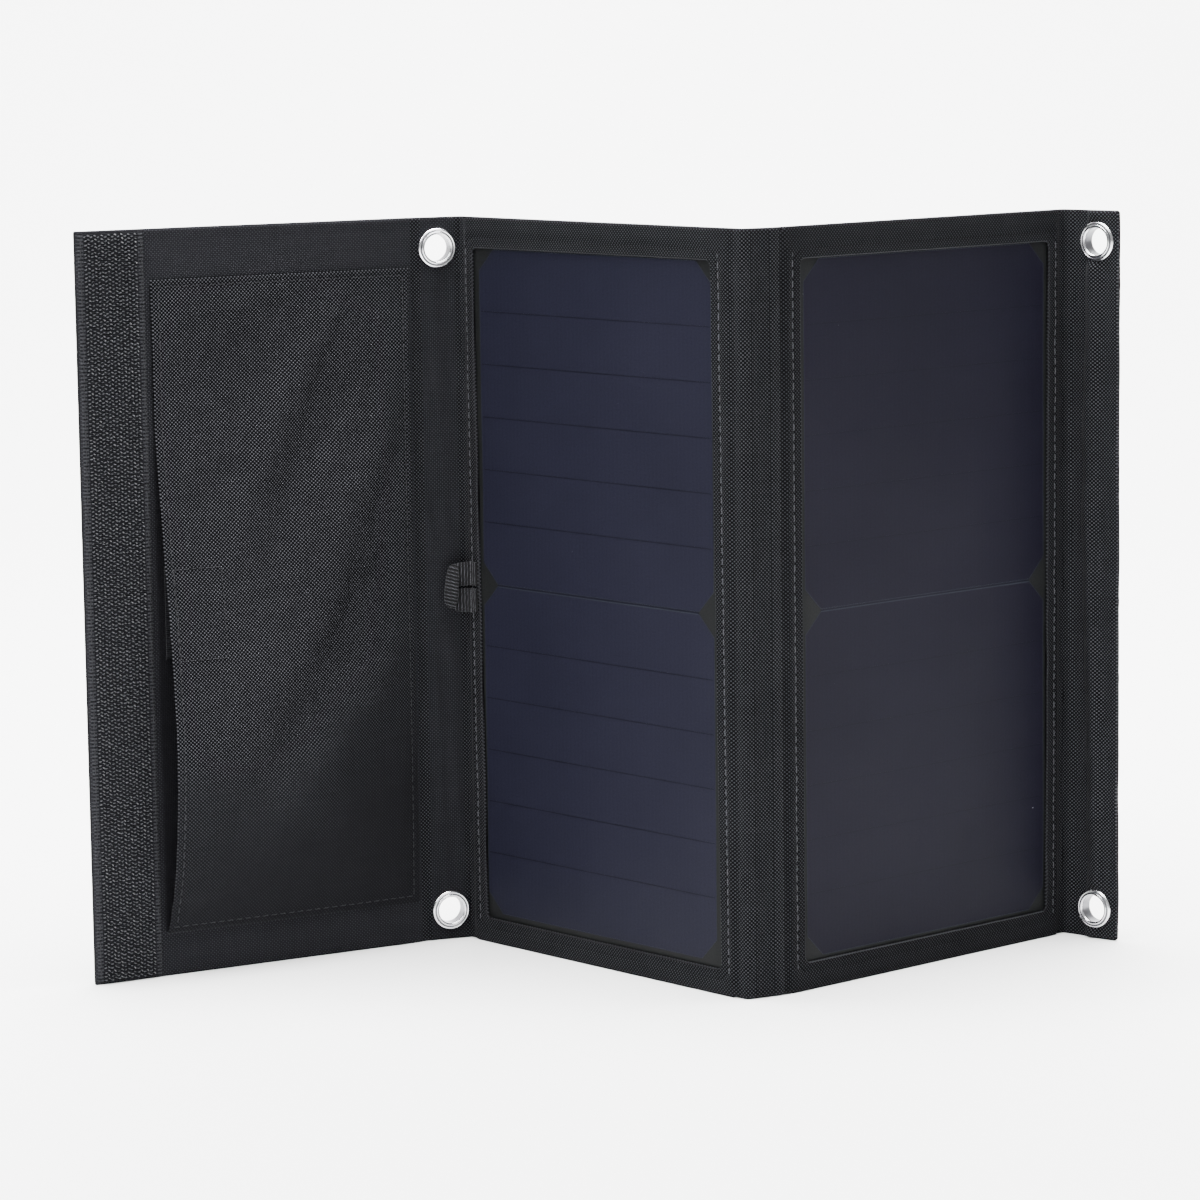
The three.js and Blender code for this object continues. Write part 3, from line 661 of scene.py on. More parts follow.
def panel_front(name, m):
    """The front fabric: rows of faces from the window's edge out to the leaf's outline."""
    points, normals = window_contour(name)
    far = reach_to_edge(points, normals, (CREASE, FAR_CREASE))
    near = [0, 0.08, 0.2, 0.4, 0.7, 1.1, 1.7, 2.5, 3.2, 3.6, 4.0, 4.4]
    outer = np.array([0.25, 0.5, 0.7, 0.82, 0.9, 0.96, 1.0])
    last = np.minimum(near[-1], far * 0.6)
    reach = [np.minimum(d, far * 0.6) for d in near] + [last + (far - last) * t for t in outer]
    rows = np.stack([points + normals * d[:, None] for d in reach], 1)
    x, z = rows[..., 0], rows[..., 1]
    edge = np.linalg.norm(rows - rows[:, :1], axis=-1)
    front = panel_front_y(x, z, edge, panel_waves(name))
    back = -1.5 + 0.75 * (1 - fullness(x))
    nose = edge_round(edge, 0.4) * edge_round(from_ends(z), 1.1)
    front = (back - 0.2) + (front - back + 0.2) * nose
    shape = leaf_slab(name, x, z, front, back, ring=True)
    # the first rows of faces, on the fold, catch the light
    index = np.arange(x.shape[0] * (x.shape[1] - 1)).reshape(x.shape[0], -1)
    shape.material[0][index[:, 1:3].ravel()] = 1
    # Panel 2 takes the darker copy of the cloth: painted shade.
    cloth = m["oxford"] if name == "panel_1" else m["oxford_2"]
    make(f"{name}_front_cover", shape, [cloth, m["fold_edge"]], name,
         [f"{name}_front_frame"])


def tray(name, leaf, x_range, half, front_at, m, seed, node, thin_left=True):
    """The back fabric with its turned-in hem, as one closed tray."""
    waves = Waves(seed, 30)
    x0, x1 = x_range
    rim = 3.0
    xs = both_ends(x0, x1, ((1, 3), (rim, 4), (rim + 0.2, 1)), max(4, round((x1 - x0) / 3)))
    zs = both_ends(0, HEIGHT, ((0.15, 1), (0.5, 2), (1.4, 3), (rim, 2), (rim + 0.2, 1)), 90)
    x, z = grid(xs, zs)
    across = np.minimum(x - x0, x1 - x)
    top = from_ends(z)
    thick = smooth((across if thin_left else x1 - x) / TAPER)
    low = min(half, THIN)
    back = low + (half - low) * thick
    back = back + 0.12 * waves(x, z) * smooth(across / 4) * smooth(top / 4)
    hem = np.minimum(across, top) < rim + 0.1
    front = np.where(hem, front_at + (0.75 - low - front_at) * (1 - thick), half - 0.75)
    if not thin_left:
        middle = (back + front) / 2
        nose = middle + (back - front) / 2 * edge_round(x - x0, 1.2)
        back = np.where(x - x0 < 1.2, nose, back)
    middle = (back + front) / 2
    back, front = (middle + (v - middle) * edge_round(top, 1.1) for v in (back, front))
    shape = leaf_slab(leaf, x, z, front, back)
    make(name, shape, [m["oxford"]], leaf, [node])


def octagon(x0, z0, grow):
    """A cell's outline as points, its chamfers with fewer."""
    c = CHAMFER + grow * 0.59
    x1, z1 = x0 + CELL + grow, z0 + CELL + grow
    x0, z0 = x0 - grow, z0 - grow
    corner = np.array([(x0 + c, z0), (x1 - c, z0), (x1, z0 + c), (x1, z1 - c), (x1 - c, z1),
                       (x0 + c, z1), (x0, z1 - c), (x0, z0 + c)])
    runs = []
    for k, a in enumerate(corner):
        t = np.linspace(0, 1, (4 if k % 2 else 40) + 1)[:-1, None]
        runs.append(a + (corner[(k + 1) % 8] - a) * t)
    return np.concatenate(runs)


def laminate(name, m):
    """The film with what shows through it: margins, cells, their outlines and lines."""
    waves = Waves(31 if name == "panel_1" else 32, 55)
    w = WINDOW[name]
    film = -1.37  # the film's front face
    left, cell_left = (6.6, 11.5) if name == "panel_1" else (9.0, 13.5)
    margin, cell, rim, line, bright = range(5)
    shape = Shape()

    def add(x, z, front, back, material, ring=False):
        points, quads = slab(x, z, front, back, ring)
        points[:, 1] += 0.07 * waves(points[:, 0], points[:, 2])
        shape.add(points, quads, name, material)

    def add_line(inset, z0, z1, lift, material):
        x, z = grid(steps((cell_left + inset, cell_left + CELL - inset, 60)), np.array([z0, z1]))
        add(x, z, film - lift, film + 0.1, material)

    x, z = grid(steps((left, 142.5, 68)), steps((6.5, 266.5, 130)))
    ends = (np.interp(z, w["z"], w[side]) for side in ("left", "right"))
    inside = inside_by(x, z, *ends, *w["z"])
    add(x, z, film + 0.28 * (1 - smooth((inside - 0.4) / 1.6)), -0.85, margin)
    for low in (MIDDLE + 0.5, MIDDLE - 0.5 - CELL):
        across = both_ends(0, CELL, ((CHAMFER, 5),), 50)
        cut = np.maximum(0, CHAMFER - np.minimum(across, CELL - across))[:, None]
        t = np.linspace(0, 1, 56)
        add(across[:, None] + cell_left + 0 * t, low + cut + (CELL - 2 * cut) * t,
            film - 0.035, film + 0.2, cell)
        outline = np.stack([octagon(cell_left, low, grow) for grow in (-0.05, 0.22)], 1)
        add(outline[..., 0], outline[..., 1], film - 0.06, film + 0.14, rim, ring=True)
        for at in CELL_LINES:
            add_line(0.6, low + at - 0.2, low + at + 0.2, 0.05, line)
    add_line(CHAMFER, MIDDLE - 0.28, MIDDLE + 0.3, 0.075, line)
    add_line(CHAMFER, MIDDLE - 0.72, MIDDLE - 0.28, 0.075, bright)
    # Panel 2's cells are partly their own tone, partly painted shade.
    cells = m["cell_1"] if name == "panel_1" else m["cell_2"]
    make(f"{name}_laminate", shape, [m["margin"], cells, m["rim"], m["line"], m["bright"]],
         name, [f"{name}_clear_film"])


def panel_stitches(name, m):
    waves = panel_waves(name)
    shape = Shape()
    front = lambda x, z: panel_front_y(x, z, np.full_like(x, STITCH_IN), waves)
    back = lambda x, z: PANEL + 0 * x
    for end, sign in (("left", -1), ("right", 1)):
        low, high = (x + sign * STITCH_IN for x in WINDOW[name][end])
        for surface, side in ((front, -1), (back, 1)):
            add_stitches(shape, name, (low, 4.0), (high, HEIGHT - 4.0), surface, side)
    make(f"{name}_stitching", shape, [m["thread"]], name)


# ---------- thin leaves

HOLE = 6.3  # radius of the hole in the fabric, under an eyelet's flange


def fit_holes(x, z, eyelets):
    """Grid points moved onto the nearest hole's edge."""
    for ex, ez in eyelets:
        r = np.hypot(x - ex, z - ez)
        scale = np.where(np.abs(r - HOLE) < 0.3, HOLE / np.maximum(r, 1e-6), 1)
        x, z = ex + (x - ex) * scale, ez + (z - ez) * scale
    return x, z


def wear_edge(x, z, x_range, seed):
    """A free edge made a little uneven, with its corners worn round."""
    wear = np.clip(1 - from_ends(z) / 3.0, 0, 1) ** 2
    fray = 0.1 * (1 + Waves(seed + 3, 34)(0 * z, z)) + 0.05 * Waves(seed + 4, 2.2)(0 * z, z)
    return x - (x - x_range[0]) / (x_range[1] - x_range[0]) * (fray + 1.3 * wear)


def flap_fold(x, z):
    """A soft upright fold beside the crease: a valley and a ridge."""
    wander = 1.2 * np.sin(z / 41 + 0.6)
    valley = -2.3 * hump(x - wander, 7.2, 3.0)
    return valley + 1.8 * hump(x - wander, 13.6, 3.6)


def thin_leaf(name, x_range, m, seed, relief, cloth="oxford", free_right=False):
    """Front and back fabric of a spine or of the flap, each a closed sheet."""
    waves = Waves(seed, 12)
    x0, x1 = x_range
    eyelets = list(EYELETS.get(name, {}).values())
    columns = round((x1 - x0) / 0.55)
    if free_right:
        xs = steps((x0, x1 - 2, columns), (x1 - 2, x1 - 0.7, 3), (x1 - 0.7, x1, 4))
    else:
        xs = steps((x0, x1, columns))
    zs = both_ends(0, HEIGHT, ((0.5, 4), (24, 44)), 150)
    middle_x, middle_z = grid((xs[1:] + xs[:-1]) / 2, (zs[1:] + zs[:-1]) / 2)
    keep = np.ones(middle_x.shape, bool)
    for ex, ez in eyelets:
        keep &= np.hypot(middle_x - ex, middle_z - ez) > HOLE
    x, z = grid(xs, zs)
    if free_right:
        x = wear_edge(x, z, x_range, seed)
    x, z = fit_holes(x, z, eyelets)

    wrinkles = relief * (waves(x, z * 0.3) + 0.5 * waves(x * 2.2, z * 0.35))
    if name == "eyelet_spine":  # flatter where the webbing loop lands
        wrinkles = wrinkles * (0.35 + 0.65 * smooth((np.abs(z - LOOP_MIDDLE) - 12) / 14))
    away = x - x0 if free_right else np.minimum(x - x0, x1 - x)
    edge = from_ends(z)
    if free_right:
        edge = np.minimum(edge, np.maximum(x1 - 0.4 - x, 0))
    for side, sign in (("front", -1), ("back", 1)):
        fold = flap_fold(x, z) if free_right and side == "front" else 0
        rise = np.maximum((wrinkles + fold) * smooth(away / 3), 0.25 - THIN)
        for ex, ez in eyelets:  # pressed flat around the eyelet
            rise = rise * smooth((np.hypot(x - ex, z - ez) - 6) / 4)
        outer = sign * (0.12 + (THIN - sign * rise - 0.12) * edge_round(edge, 0.9))
        inner = np.full_like(x, sign * 0.1)
        points, quads = masked_slab(x, z, keep, *((outer, inner)[::-sign]))
        shape = Shape().add(points, quads, name)
        if free_right:
            shape.material[0][points[quads].mean(1)[:, 0] > x1 - 0.5] = 1
        make(f"{name}_{side}_cover", shape, [m[cloth], m["selvedge"]], name,
             [f"{name}_{side}_fabric"])


def lathe(profile, x, z, sides=72):
    """A ring turned about the leaf's y direction from a closed (r, y) outline."""
    angle = np.arange(sides) * 2 * math.pi / sides
    r, y = np.array(profile).T[..., None]
    points = np.stack([x + r * np.cos(angle), y + 0 * angle, z + r * np.sin(angle)], -1)
    return points.reshape(-1, 3), tube_quads(len(profile), sides, closed=True)


def arc(cx, cy, r, start, end, count):
    return [(cx + r * math.cos(math.radians(a)), cy + r * math.sin(math.radians(a)))
            for a in np.linspace(start, end, count)]


def eyelet_profiles():
    """Flange: rolled edge, barrel, and a lip curled over the washer. Then the washer."""
    flange = (
        arc(5.72, -1.9, 0.72, 180, 300, 10)
        + [(6.12, -2.3), (6.25, -2.22), (6.45, -2.3), (6.7, -2.42), (7.0, -2.36), (7.28, -2.1),
           (7.44, -1.8), (7.5, -1.5), (7.42, -1.34), (7.2, -1.3), (6.6, -1.34), (6.0, -1.36),
           (5.6, -1.3), (5.5, -1.1), (5.5, 1.6), (5.6, 2.1)]
        + arc(6.0, 2.2, 0.42, 170, -60, 9)
        + arc(5.75, 2.2, 0.75, 30, 180, 9)
        + [(5.0, 1.6), (5.0, -1.2)]
    )
    washer = [(5.7, 1.5), (6.4, 1.46), (7.3, 1.42), (7.5, 1.52), (7.4, 1.75), (6.9, 1.98),
              (6.2, 2.04), (5.7, 1.98)]
    return {"eyelet": flange, "washer": washer}


def eyelets(leaf, m):
    for level, (x, z) in EYELETS[leaf].items():
        for part, profile in eyelet_profiles().items():
            points, quads = lathe(profile, x, z)
            shape = Shape().add(points, quads, leaf)
            middle = points[quads].mean(1)
            r = np.hypot(middle[:, 0] - x, middle[:, 2] - z)
            groove = (np.abs(r - 6.28) < 0.2) & (middle[:, 1] < -2)
            shape.material[0][groove | (r < 5.03)] = 1  # the groove and the bore take a darker metal: painted shade
            make(f"{leaf}_{level}_{part}_ring", shape, [m["nickel"], m["tarnish"]],
                 leaf, [f"{leaf}_{level}_{part}"], sharp=60)


# ---------- creases


def crease(joint, left, right, valley, m, seed):
    """The fabric around one fold, a closed sleeve that bends between two leaves."""
    length = WIDTH[left]
    inner_y, outer_y = (-THIN, THIN) if valley else (THIN, -THIN)
    zs = both_ends(0, HEIGHT, ((0.12, 1), (0.5, 3), (1.2, 2)), 136)
    reach = [CREASE, 1.5, 1.0, 0.55, 0.3]

    def plan(leaf, x, y):
        return place(leaf, np.array([[x, y, 0.0]]))[0, :2] * 1000

    axis = plan(right, 0, inner_y)
    turns = (plan(left, length, outer_y) - axis, plan(right, 0, outer_y) - axis)
    a0, a1 = (math.atan2(v[1], v[0]) for v in turns)
    a1 = a0 + (a1 - a0 + math.pi) % (2 * math.pi) - math.pi
    inner = [plan(left, length - d, inner_y) for d in reach]
    outer = [plan(left, length - d, outer_y) for d in reach]
    p, q = inner[-1], plan(right, reach[-1], inner_y)
    bend = np.linspace(0.1, 0.9, 9)
    for t in bend:
        inner.append((1 - t) ** 2 * p + 2 * t * (1 - t) * axis + t * t * q)
        angle = a0 + (a1 - a0) * (t - 0.1) / 0.8
        outer.append(axis + 2 * THIN * np.array([math.cos(angle), math.sin(angle)]))
    inner = np.array(inner + [plan(right, d, inner_y) for d in reach[::-1]])
    outer = np.array(outer + [plan(right, d, outer_y) for d in reach[::-1]])
    row = np.concatenate([-np.array(reach), (bend - 0.5) * 2 * reach[-1], reach[::-1]])

    out = unit(outer - inner)
    x, z = grid(row + LEAVES[right][4], zs)
    swell = 0.16 * Waves(seed, 12)(x, z) * smooth((CREASE - np.abs(row)) / 1.2)[:, None]
    thick = 0.1 + 0.9 * edge_round(from_ends(z), 0.9)[..., None]
    middle = (inner + outer) / 2
    layers = []
    for line in (inner, outer):
        layer = middle[:, None] + (line - middle)[:, None] * thick
        layer = layer + out[:, None] * swell[..., None]
        layers.append(np.concatenate([layer, z[..., None]], -1) / 1000)
    points, quads = slab_between(*(layers if valley else layers[::-1]))
    seen = inner if valley else outer  # the weave keeps its size on the side that shows
    run = np.concatenate([[0], np.cumsum(np.linalg.norm(np.diff(seen, axis=0), axis=1))])
    u, v = grid(run - run[-1] / 2 + LEAVES[right][4], zs)
    uv = np.stack([u, v], -1).reshape(-1, 2) / 1000
    shape = Shape().add(points, quads, right, uv=np.concatenate([uv, uv]))
    sleeve = make(f"{joint}_fabric", shape, [m["crease"]])
    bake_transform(sleeve)


CREASES = (
    # joint, its leaves, and whether it folds to the front
    ("pocket_crease", "pocket_panel", "eyelet_spine", True),
    ("spine_crease", "eyelet_spine", "panel_1", True),
    ("centre_crease_left", "panel_1", "centre_spine", False),
    ("centre_crease_right", "centre_spine", "panel_2", False),
    ("flap_crease", "panel_2", "end_flap", True),
)


# ---------- pocket panel

POCKET = {"left": 28.5, "right": 133.3, "bottom": 16.0, "top": 256.5, "peak": 78.0, "rise": 13.5}
POCKET_WAVES = Waves(41, 60)
POCKET_RIPPLE = Waves(42, 9)
# pull folds: from, to, half width, height (below 0 is a valley)
PULLS = (
    ((120, 248), (74, 150), 7, -2.3), ((108, 252), (62, 165), 8, 1.8),
    ((131, 215), (86, 108), 8, 1.9), ((126, 150), (66, 70), 8, -2.2),
    ((128, 115), (70, 45), 8, 1.5),
)


def pocket_rise(x, z):
    """How far the pocket stands off the lining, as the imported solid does."""
    p = POCKET
    across = np.clip((x - p["left"]) / (p["right"] - p["left"]), 0, 1)
    below = np.clip((z - p["bottom"]) / (p["peak"] - p["bottom"]), 0, 1)
    above = np.clip((z - p["peak"]) / (p["top"] - p["peak"]), 0, 1)
    return (p["rise"] * (1 - across ** 3) * np.sin(math.pi / 2 * below) ** 0.7
            * np.cos(math.pi / 2 * above) ** 3)


def pocket_folds(x, z):
    """Soft pull folds that run down from the sewn side, and the cloth's small ripple."""
    total = 0.55 * POCKET_WAVES(x, z) + 0.14 * POCKET_RIPPLE(x, z)
    for (x0, z0), (x1, z1), size, depth in PULLS:
        run = math.hypot(x1 - x0, z1 - z0)
        ax, az = (x1 - x0) / run, (z1 - z0) / run
        along = ((x - x0) * ax + (z - z0) * az) / run
        across = (x - x0) * az - (z - z0) * ax - 4 * np.sin(along * 2.6)
        body = hump(across, 0, size) * np.exp(-(((along - 0.5) / 0.55) ** 4))
        total = total + depth * body
    return total


def pocket_surface(x, z):
    """y of the pocket's outer face: the rise, its pull folds and its sewn edges."""
    p = POCKET
    sewn = np.minimum(np.minimum(p["right"] - x, p["top"] - z), z - p["bottom"])
    rise = pocket_rise(x, z)
    folds = pocket_folds(x, z) * smooth((sewn - 1.5) / 12)
    folds = np.maximum(folds, -np.minimum(1.5, 0.15 + 0.8 * rise))  # stays off the lining
    sunk = 0.3 * hump(sewn, 2.6, 0.6)
    hem = 0.18 * (1 - smooth((x - p["left"] - 3.2) / 0.6))
    groove = 0.2 * hump(x - p["left"], 2.6, 0.5)
    return -(2.62 + rise + folds + hem - sunk - groove)


def add_to_pocket_panel(name, shape, materials, nodes=()):
    return make(name, shape, materials, "pocket_panel", nodes)


def pocket(m):
    p = POCKET
    left, right, bottom, top = (p[side] for side in ("left", "right", "bottom", "top"))
    xs = steps((left, left + 0.6, 3), (left + 0.6, left + 5, 14), (left + 5, right - 5, 70),
               (right - 5, right, 10))
    x, z = grid(xs, both_ends(bottom, top, ((5, 10),), 158))
    front = pocket_surface(x, z)
    back = front + 0.62 + 0.25 * (1 - smooth((x - left - 3.2) / 0.8))
    sides = inside_by(x, z, left, right, bottom, top)
    middle = (front + back) / 2
    front = middle + (front - middle) * (0.15 + 0.85 * edge_round(sides, 0.5))
    shape = leaf_slab("pocket_panel", x, z, front, back)
    sheet = add_to_pocket_panel("storage_pocket_sheet", shape, [m["pocket"]],
                                ["storage_pocket"])

    stitches = Shape()
    inset = 2.6
    hem, low, high, side = left + inset, bottom + inset, top - inset, right - inset
    patch = [(31.5, 118.5), (50.5, 118.5), (50.5, 151.5), (31.5, 151.5)]  # around the hooks
    seams = [((side, low), (side, high)), ((left + 1, high), (side, high)),
             ((left + 1, low), (side, low)), ((hem, bottom + 4), (hem, top - 4))]
    for rows, pitch in ((seams, 3.6), (zip(patch, patch[1:] + patch[:1]), 3.0)):
        for start, end in rows:
            add_stitches(stitches, "pocket_panel", start, end, pocket_surface, pitch=pitch)
    add_to_pocket_panel("pocket_stitching", stitches, [m["dark_thread"]])


def patches(m):
    """The hook patch inside the pocket and the loop patch on the lining."""
    x, z = grid(steps((31, 51, 20)), steps((118, 152, 34)))
    for name, front in (("hook", pocket_surface(x, z) + 0.95), ("loop", -2.65 + 0 * x)):
        shape = leaf_slab("pocket_panel", x, z, front, front + 0.7)
        add_to_pocket_panel(f"pocket_{name}_strip", shape, [m["tape"]],
                            [f"pocket_{name}_patch"])


def lining(m):
    waves = Waves(51, 34)
    x1 = WIDTH["pocket_panel"] - CREASE
    x, z = grid(steps((0, 0.15, 1), (0.15, 1.2, 5), (1.2, x1, 66)),
                both_ends(0, HEIGHT, ((0.15, 1), (1.2, 5)), 130))
    edge = np.minimum(x, from_ends(z))
    hem = 0.22 * hump(edge, 1.4, 1.1) - 0.2 * hump(edge, 3.4, 0.6)
    away = smooth((x1 - x) / 4)
    thick = POCKET_PANEL + (0.14 * waves(x, z) * smooth(edge / 5) + hem) * away
    thick = thick + (THIN - POCKET_PANEL) * (1 - away)
    back = -0.95 + 0.3 * (1 - away)
    front = back - 0.05 - (thick + back - 0.05) * edge_round(edge, 1.0)
    shape = leaf_slab("pocket_panel", x, z, front, back)
    add_to_pocket_panel("pocket_panel_lining", shape, [m["lining"]],
                        ["pocket_panel_front_lining"])


def hook_form():
    """One bent hook standing on y = 0, pointing to -y and leaning to +x."""
    path = np.array([[0, 0.15], [0, -0.45], [0.08, -0.75], [0.28, -0.92], [0.5, -0.86]])
    size = np.array([0.2, 0.17, 0.15, 0.14, 0.09])
    rings = []
    for k, ((x, y), r) in enumerate(zip(path, size)):
        ahead = path[min(k + 1, 4)] - path[max(k - 1, 0)]
        ahead = ahead / np.linalg.norm(ahead)
        side = np.array([-ahead[1], ahead[0]])
        for a, b in ((1, 1), (1, -1), (-1, -1), (-1, 1)):
            rings.append([x + side[0] * r * a, y + side[1] * r * a, r * b])
    return np.array(rings), tube_quads(5, 4)


def scatter(shape, form, quads, places, leaf, draw, material, lean, spin=0.25):
    """Many copies of one small form on a leaf, each turned and sized a little differently."""
    count = len(places)
    angle = lean + draw.normal(0, spin, count)
    k = draw.uniform(0.8, 1.12, count)[:, None]
    c, s = np.cos(angle)[:, None], np.sin(angle)[:, None]
    x, y, z = form.T
    turned = np.stack([k * (c * x - s * z), k * y, k * (s * x + c * z)], -1)
    points = (places[:, None] + turned).reshape(-1, 3)
    offsets = (np.arange(count) * len(form))[:, None, None]
    shape.add(points, (quads[None] + offsets).reshape(-1, 4), leaf, material)


def tape_base(x0, x1, z0, z1, front, back):
    x, z = grid(both_ends(x0, x1, ((2, 4),), 16), steps((z0, z1, 120)))
    thick = 0.3 + 0.7 * edge_round(inside_by(x, z, x0, x1, z0, z1), 0.4)
    return slab(x, z, back + (front - back) * thick, back)


def jittered(x, y, z, draw, in_x, in_z):
    """Places over a grid of x and z, each moved a little."""
    places = np.stack([x.ravel(), np.full(x.size, y), z.ravel()], -1)
    places[:, 0] += draw.normal(0, in_x, len(places))
    places[:, 2] += draw.normal(0, in_z, len(places))
    return places


def hook_tape(m):
    draw = np.random.default_rng(61)
    x0, x1, z0, z1 = 0.6, 26.0, 0.6, HEIGHT - 0.6
    selvedge, first = 2.2, 2.6
    points, quads = tape_base(x0, x1, z0, z1, -2.35, -1.7)
    shape = Shape().add(points, quads, "pocket_panel")
    middle = points[quads].mean(1)[:, 0]
    shape.material[0][(middle < x0 + selvedge) | (middle > x1 - selvedge)] = 1
    pitch_x, pitch_z = 1.3, 1.45
    gx, gz = grid(np.arange(x0 + first, x1 - 2.3, pitch_x), np.arange(z0 + 1, z1 - 0.6, pitch_z))
    odd = np.round((gx - x0 - first) / pitch_x).astype(int) % 2
    gz = gz + 0.72 * odd
    places = jittered(gx, -2.3, gz, draw, 0.1, 0.12)
    lean = np.where(odd.ravel() == 0, 0.75, -0.75)
    scatter(shape, *hook_form(), places, "pocket_panel", draw, 2, lean)
    add_to_pocket_panel("closure_hook_strip", shape, [m["tape"], m["tape_edge"], m["hook"]],
                        ["closure_hook_tape"])


def tape_stitches(m):
    shape = Shape()
    for y, side in ((-2.35, -1), (POCKET_PANEL, 1)):
        for x in (1.5, 25.0):
            add_stitches(shape, "pocket_panel", (x, 3), (x, HEIGHT - 3), lambda x, z: y + 0 * x,
                         side, pitch=3.4)
    add_to_pocket_panel("tape_stitching", shape, [m["dark_thread"]])


def loop_form():
    """One small arch of yarn standing on y = 0, bulging to +y."""
    rings = []
    for t in math.pi * np.linspace(-0.2, 1.2, 7):
        x, y = 0.42 * math.cos(t), 0.62 * math.sin(t)
        for angle in np.arange(4) * math.pi / 2:
            c = math.cos(angle)
            rings.append([x * (1 + 0.16 * c / 0.42), y + 0.07 * c * abs(math.sin(t)),
                          0.07 * math.sin(angle)])
    return np.array(rings), tube_quads(7, 4)


def loop_tape(m):
    draw = np.random.default_rng(62)
    x0, x1, z0, z1 = 30.6, 56.6, 4.0, 271.0
    points, quads = tape_base(x0, x1, z0, z1, 2.36, 2.9)
    shape = Shape().add(points, quads, "panel_2")
    gx, gz = grid(np.arange(x0 + 1.2, x1 - 0.8, 0.95), np.arange(z0 + 1, z1 - 0.6, 1.05))
    places = jittered(gx, 2.85, gz, draw, 0.22, 0.22)
    lean = draw.uniform(0, math.pi, len(places))
    scatter(shape, *loop_form(), places, "panel_2", draw, 1, lean)
    make("closure_loop_strip", shape, [m["tape"], m["loops"]], "panel_2",
         ["closure_loop_tape"])


# ---------- webbing loop

def spline(knots, count):
    """A smooth line through knots of any dimension."""
    knots = np.asarray(knots, float)
    t = np.linspace(0, len(knots) - 1, count)
    base = np.clip(np.floor(t).astype(int), 0, len(knots) - 2)
    f = (t - base)[:, None]
    pad = np.concatenate([knots[:1] * 2 - knots[1:2], knots, knots[-1:] * 2 - knots[-2:-1]])
    p0, p1, p2, p3 = (pad[base + k] for k in range(4))
    return 0.5 * (2 * p1 + (p2 - p0) * f + (2 * p0 - 5 * p1 + 4 * p2 - p3) * f ** 2
                  + (3 * p1 - p0 - 3 * p2 + p3) * f ** 3)


def ribbon(shape, near, far, pitch, thick):
    """A ribbed band between two edge lines, in metres; the ribs cross it."""
    middle = (near + far) / 2
    run = np.diff(middle, axis=0)
    along = np.concatenate([[0], np.cumsum(np.linalg.norm(run, axis=1))]) * 1000
    ahead = np.gradient(middle, axis=0)
    across = (far - near) / 2
    width = np.linalg.norm(across, axis=1)[:, None]
    across = across / width
    out = unit(np.cross(ahead, across))
    rib = np.abs(np.sin(math.pi * along / pitch)) ** 0.8
    ends = edge_round(np.minimum(along, along[-1] - along), 0.5)
    height = ((thick * (0.55 + 0.45 * rib)) * (0.3 + 0.7 * ends))[:, None] / 1000
    rings = []
    for a in np.linspace(0, 2 * math.pi, 24, endpoint=False):
        u, v = math.cos(a), math.sin(a)
        rings.append(middle + across * width * np.sign(u) * abs(u) ** 0.4
                     + out * height * np.sign(v) * abs(v) ** 0.6)
    points = np.stack(rings, 1).reshape(-1, 3)
    uv = np.stack([np.repeat(along, 24), np.tile(np.arange(24) * 0.4, len(along))], -1) / 1000
    shape.add(points, tube_quads(len(along), 24), None, uv=uv)
    # The crests take the lighter rib material: a painted highlight.
    crest = np.repeat(rib[:-1] > 0.9, 24)
    shape.material[-1][:len(crest)][crest] = 1


def webbing(m):
    """A ribbed band: two arms sewn to panel 1 and, between their ends, its turned bight."""
    shape = Shape()
    on_panel = -PANEL - 0.75
    z = LOOP_MIDDLE

    def edge(level, sway):
        """One long edge of an arm, at a height above the loop's middle."""
        sewn = place("panel_1", [[x, on_panel, z + level] for x in (9.0, 7.2, 5.7)])
        free = place("webbing_loop", [[-0.4, -0.5, z + level], [-2.2, -0.6 + sway, z + level],
                                      [-3.8, -0.2 + sway, z + 0.98 * level],
                                      [-5.4, 1.0 + sway, z + 0.93 * level]])
        return spline(np.concatenate([sewn, free]), 170)

    def bight_edge(knots):
        return spline(place("webbing_loop", [[x, y, z + level] for x, y, level in knots]), 260)

    ribbon(shape, edge(0.5, 0.2), edge(9.5, 0), 1.1, 0.62)
    ribbon(shape, edge(-0.5, 0.2), edge(-9.5, 0), 1.1, 0.62)
    inner = ((-4.2, 0.8, 8.0), (-4.6, -1.0, 6.9), (-4.8, -2.0, 4.0), (-5.1, -2.3, 0.4),
             (-5.4, -2.2, -3.4), (-5.6, -1.2, -6.6), (-5.4, 0.8, -8.0))
    outer = ((-5.6, 1.3, 8.6), (-7.4, 1.3, 7.8), (-8.5, 1.15, 5.2), (-9.2, 1.05, 1.5),
             (-9.6, 1.1, -2.4), (-9.4, 1.2, -5.4), (-7.4, 1.3, -7.4))
    ribbon(shape, bight_edge(inner), bight_edge(outer), 1.25, 0.75)
    band = make("ribbed_webbing_loop", shape, [m["webbing"], m["rib"]],
                nodes=["webbing_loop"])
    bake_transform(band)

    bars = Shape()
    x, on = 6.1, lambda x, z: -PANEL - 1.12 + 0 * x
    for z0, z1 in ((z + 1.2, z + 10), (z - 10, z - 1.2)):
        add_stitches(bars, "panel_1", (x, z0), (x, z1), on, pitch=2.2, share=0.85)
    make("loop_bar_tacks", bars, [m["thread"]], "panel_1")


# ---------- studio and run

